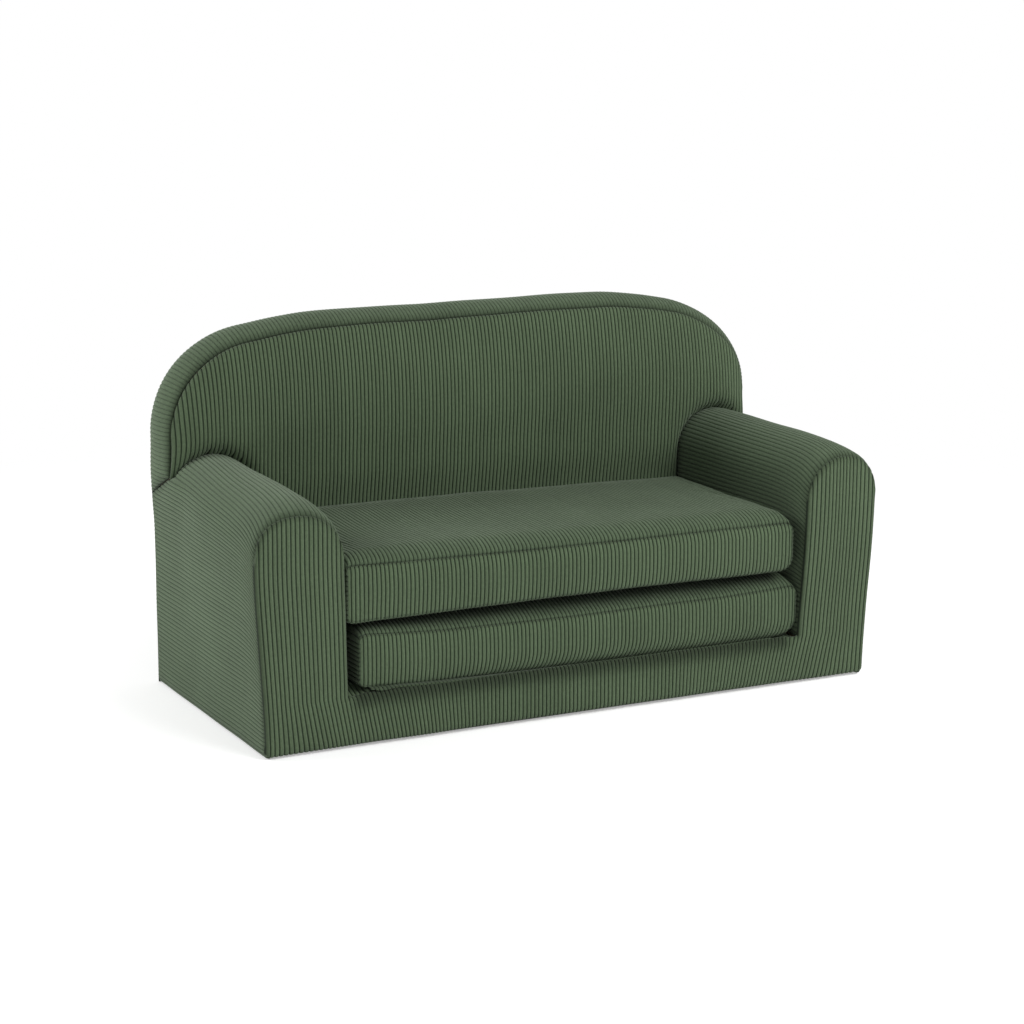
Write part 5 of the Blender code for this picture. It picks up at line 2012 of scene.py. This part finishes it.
# %% The bead tree
BEAD_SEGMENTS, BEAD_RINGS = 6, 4
BEAD_FACES = BEAD_SEGMENTS * BEAD_RINGS


def bead_tree():
    tree = bpy.data.node_groups.new("row of beads", "GeometryNodeTree")
    open_sockets(
        tree,
        "INPUT",
        ("Geometry", "Geometry"),
        ("Spacing", "Float", 0.0032),
        ("Bead Size", "Vector", (0.0012, 0.0003, 0.0003)),
        ("Thread", "Material"),
    )
    open_sockets(tree, "OUTPUT", ("Geometry", "Geometry"))
    given = add_node(tree, "NodeGroupInput").outputs
    curve = add_node(tree, "GeometryNodeMeshToCurve", {"Mesh": given["Geometry"]}).outputs[0]
    spaced = {"Curve": curve, "Length": given["Spacing"]}
    steps = add_node(tree, "GeometryNodeCurveToPoints", spaced, mode="LENGTH").outputs
    along = {"Vector": steps["Tangent"]}
    turned = add_node(tree, "FunctionNodeAlignRotationToVector", along, axis="X").outputs[0]
    ball = {"Segments": BEAD_SEGMENTS, "Rings": BEAD_RINGS, "Radius": 1.0}
    bead = add_node(tree, "GeometryNodeMeshUVSphere", ball).outputs["Mesh"]
    smooth = add_node(tree, "GeometryNodeSetShadeSmooth", {"Geometry": bead}).outputs[0]
    row = {"Points": steps["Points"], "Instance": smooth, "Rotation": turned, "Scale": given["Bead Size"]}
    laid = add_node(tree, "GeometryNodeInstanceOnPoints", row).outputs[0]
    end_tree(tree, laid, given["Thread"])
    return tree


def bead_rows(name, paths, spacing, size, material):
    """Beads along each path, as one piece."""
    edges = []
    first = 0
    for path_points in paths:
        edges += [(first + i, first + i + 1) for i in range(len(path_points) - 1)]
        first += len(path_points)
    mesh = bpy.data.meshes.new(name)
    mesh.from_pydata(np.concatenate(paths).tolist(), edges, [])
    obj = bpy.data.objects.new(name, mesh)
    return run_tree(obj, beads_tree, spacing=spacing, bead_size=size, thread=material)


beads_tree = bead_tree()
print("tree:", beads_tree.name)

# %% [markdown]
# ## Topstitching
#
# Along the front of each slab the seam is stitched down on both sides. The threads run along the
# dents that the corduroy tree left for them.

# %% Stitches
THREAD_GREEN = (0.018, 0.028, 0.016)
STITCH_STEP = 0.0036
STITCH_SIZE = (0.0013, 0.0003, 0.0003)
thread = woven_material("green thread", THREAD_GREEN, 0.7, 2500.0)
for slab in (lower_slab, upper_slab):
    rows = [stitch_paths[slab.name + "_top_cover"][0], *stitch_paths[slab.name + "_front_panel"]]
    stitches = bead_rows(slab.name + "_stitches", rows, STITCH_STEP, STITCH_SIZE, thread)
    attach(stitches, slab.name)
    print(stitches.name, len(stitches.data.polygons) // BEAD_FACES, "stitches")

# %% [markdown]
# ## Zips
#
# Each cover comes off to be washed, through a zip in a slot at the rear. The tape is woven, two
# bands side by side behind the cloth, and the teeth are loops of nylon wound in two rows that lock
# half a step apart. The slider is cast metal without a puller, as on covers that a child shouldn't
# open: a shield-shaped plate with a bridge and two side flanges.

# %% The zips' solids and finishes
METAL_GREY = (0.5, 0.5, 0.48)
METAL_GRAIN = (900.0, 4.0)
METAL_TONE = (0.5, 0.5)
METAL_ROUGHNESS = (0.3, 0.28)


def prism(name, outline, near, far, bevel):
    """A flat outline in X and Z, made solid along Y and bevelled."""
    solid = bmesh.new()
    front_ring = [solid.verts.new((x, near, z)) for x, z in outline]
    rear_ring = [solid.verts.new((x, far, z)) for x, z in outline]
    solid.faces.new(front_ring)
    solid.faces.new(rear_ring[::-1])
    for i in range(len(outline)):
        j = (i + 1) % len(outline)
        solid.faces.new([front_ring[i], rear_ring[i], rear_ring[j], front_ring[j]])
    bmesh.ops.bevel(solid, geom=solid.edges[:], offset=bevel, segments=2, affect="EDGES", profile=0.5)
    bmesh.ops.recalc_face_normals(solid, faces=solid.faces)
    mesh = bpy.data.meshes.new(name)
    solid.to_mesh(mesh)
    solid.free()
    return mesh


def join_meshes(name, meshes, material):
    whole = bmesh.new()
    for mesh in meshes:
        whole.from_mesh(mesh)
    mesh = bpy.data.meshes.new(name)
    whole.to_mesh(mesh)
    whole.free()
    mesh.materials.append(material)
    obj = bpy.data.objects.new(name, mesh)
    scene.collection.objects.link(obj)
    return obj


def box_outline(x0, x1, z0, z1):
    return [(x0, z0), (x1, z0), (x1, z1), (x0, z1)]


def metal_material():
    material, tree, shader = new_material("cast zip metal", {"Metallic": 1.0})
    place = add_node(tree, "ShaderNodeTexCoord").outputs["Object"]
    grain = noise(tree, place, *METAL_GRAIN)
    worn = {0: METAL_GREY, "Scale": reckon(tree, "MULTIPLY_ADD", grain, *METAL_TONE)}
    tone = add_node(tree, "ShaderNodeVectorMath", worn, operation="SCALE")
    tree.links.new(reckon(tree, "MULTIPLY_ADD", grain, *METAL_ROUGHNESS), shader.inputs["Roughness"])
    tree.links.new(tone.outputs[0], shader.inputs["Base Color"])
    return material


tape_cloth = woven_material("green zip tape", (0.030, 0.046, 0.028), 0.85, 1800.0)
nylon = woven_material("green nylon teeth", (0.026, 0.040, 0.025), 0.45, 2500.0)
cast_metal = metal_material()
print("materials:", tape_cloth.name, nylon.name, cast_metal.name)

# %% [markdown]
# One rule makes all three zips, from a body, a length and a place. Only the slider rides on a body of
# its own, and it is parked at the left end of its zip.

# %% Zip tapes, teeth and sliders
BODY_ZIP_LENGTH = 0.620
SLAB_ZIP_LENGTH = 0.440
ZIP_END_GAP = 0.002
ZIP_TAPE_HALF = 0.012
ZIP_TAPE_THICK = 0.0008
ZIP_TAPE_GAP = 0.0001
ZIP_TAPE_BEVEL = 0.0002
ZIP_SKIN = 0.0027
TOOTH_STEP = 0.0016
TOOTH_SIZE = (0.00055, 0.0015, 0.0007)
TOOTH_OFFSET = 0.0008
TOOTH_ENDS = (0.001, 0.002)
SLIDER_PARKED = 0.0085
SLIDER_INSET = 0.0003
PLATE_THICK = 0.0006
SLIDER_BEVEL = 0.0001
FLANGE_SPAN = (-0.0035, 0.0030)
FLANGE_OUT, FLANGE_HALF = 0.0034, 0.0004
FLANGE_ROOM, FLANGE_UNDER = 0.0004, 0.0003
BRIDGE_HALF, BRIDGE_HEIGHT = 0.0035, 0.0010
BRIDGE_SUNK, BRIDGE_PROUD, BRIDGE_BEVEL = 0.0002, 0.0006, 0.00025
SHIELD_MM = (
    (-6.5, -2.8), (-4.0, -3.8), (3.5, -3.8), (6.2, -2.2), (6.5, 0.0),
    (6.2, 2.2), (3.5, 3.8), (-4.0, 3.8), (-6.5, 2.8), (-5.8, 0.0),
)


def zip_tape(body, half, root, z):
    bands = []
    for low, high in ((-ZIP_TAPE_HALF, -ZIP_TAPE_GAP), (ZIP_TAPE_GAP, ZIP_TAPE_HALF)):
        outline = box_outline(-half, half, z + low, z + high)
        bands.append(prism(body + "_band", outline, root - ZIP_TAPE_THICK, root, ZIP_TAPE_BEVEL))
    tape = join_meshes(body + "_zip_tape", bands, tape_cloth)
    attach(tape, body)
    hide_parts(body + "_zip")


def zip_teeth(body, half, root, z):
    rows = []
    for way, shift in ((-1, 0.0), (1, TOOTH_STEP / 2)):
        y, height = root + TOOTH_OFFSET, z + way * TOOTH_OFFSET
        first, last = -half + TOOTH_ENDS[0] + shift, half - TOOTH_ENDS[1] + shift
        rows.append(np.array([(first, y, height), (last, y, height)]))
    teeth = bead_rows(body + "_zip_teeth", rows, TOOTH_STEP, TOOTH_SIZE, nylon)
    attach(teeth, body)
    return len(teeth.data.polygons) // BEAD_FACES


def zip_slider(body, middle, root, top, z):
    shield = [(middle + x / 1000, z + height / 1000) for x, height in SHIELD_MM]
    parts = [prism("plate", shield, top - PLATE_THICK, top, SLIDER_BEVEL)]
    for way in (-1, 1):
        side = z + way * FLANGE_OUT
        span = [middle + end for end in FLANGE_SPAN]
        flange = box_outline(*span, side - FLANGE_HALF, side + FLANGE_HALF)
        parts.append(prism("flange", flange, root + FLANGE_ROOM, top - FLANGE_UNDER, SLIDER_BEVEL))
    bridge = box_outline(middle - BRIDGE_HALF, middle + BRIDGE_HALF, z - BRIDGE_HEIGHT, z + BRIDGE_HEIGHT)
    parts.append(prism("bridge", bridge, top - BRIDGE_SUNK, top + BRIDGE_PROUD, BRIDGE_BEVEL))
    slider = join_meshes(body + "_slider", parts, cast_metal)
    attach(slider, body + "_zip_slider")
    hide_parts(body + "_zip_slider")


def make_zip(body, length, face_y, z):
    root = face_y - ZIP_SKIN
    half = length / 2 - ZIP_END_GAP
    zip_tape(body, half, root, z)
    teeth = zip_teeth(body, half, root, z)
    zip_slider(body, SLIDER_PARKED - length / 2, root, face_y - SLIDER_INSET, z)
    print(body, "zip:", length, "m long,", teeth, "teeth")


make_zip("body", BODY_ZIP_LENGTH, REAR, BODY_ZIP_HEIGHT)
for slab in (lower_slab, upper_slab):
    make_zip(slab.name, SLAB_ZIP_LENGTH, SLAB_REAR, slab.middle()[2])
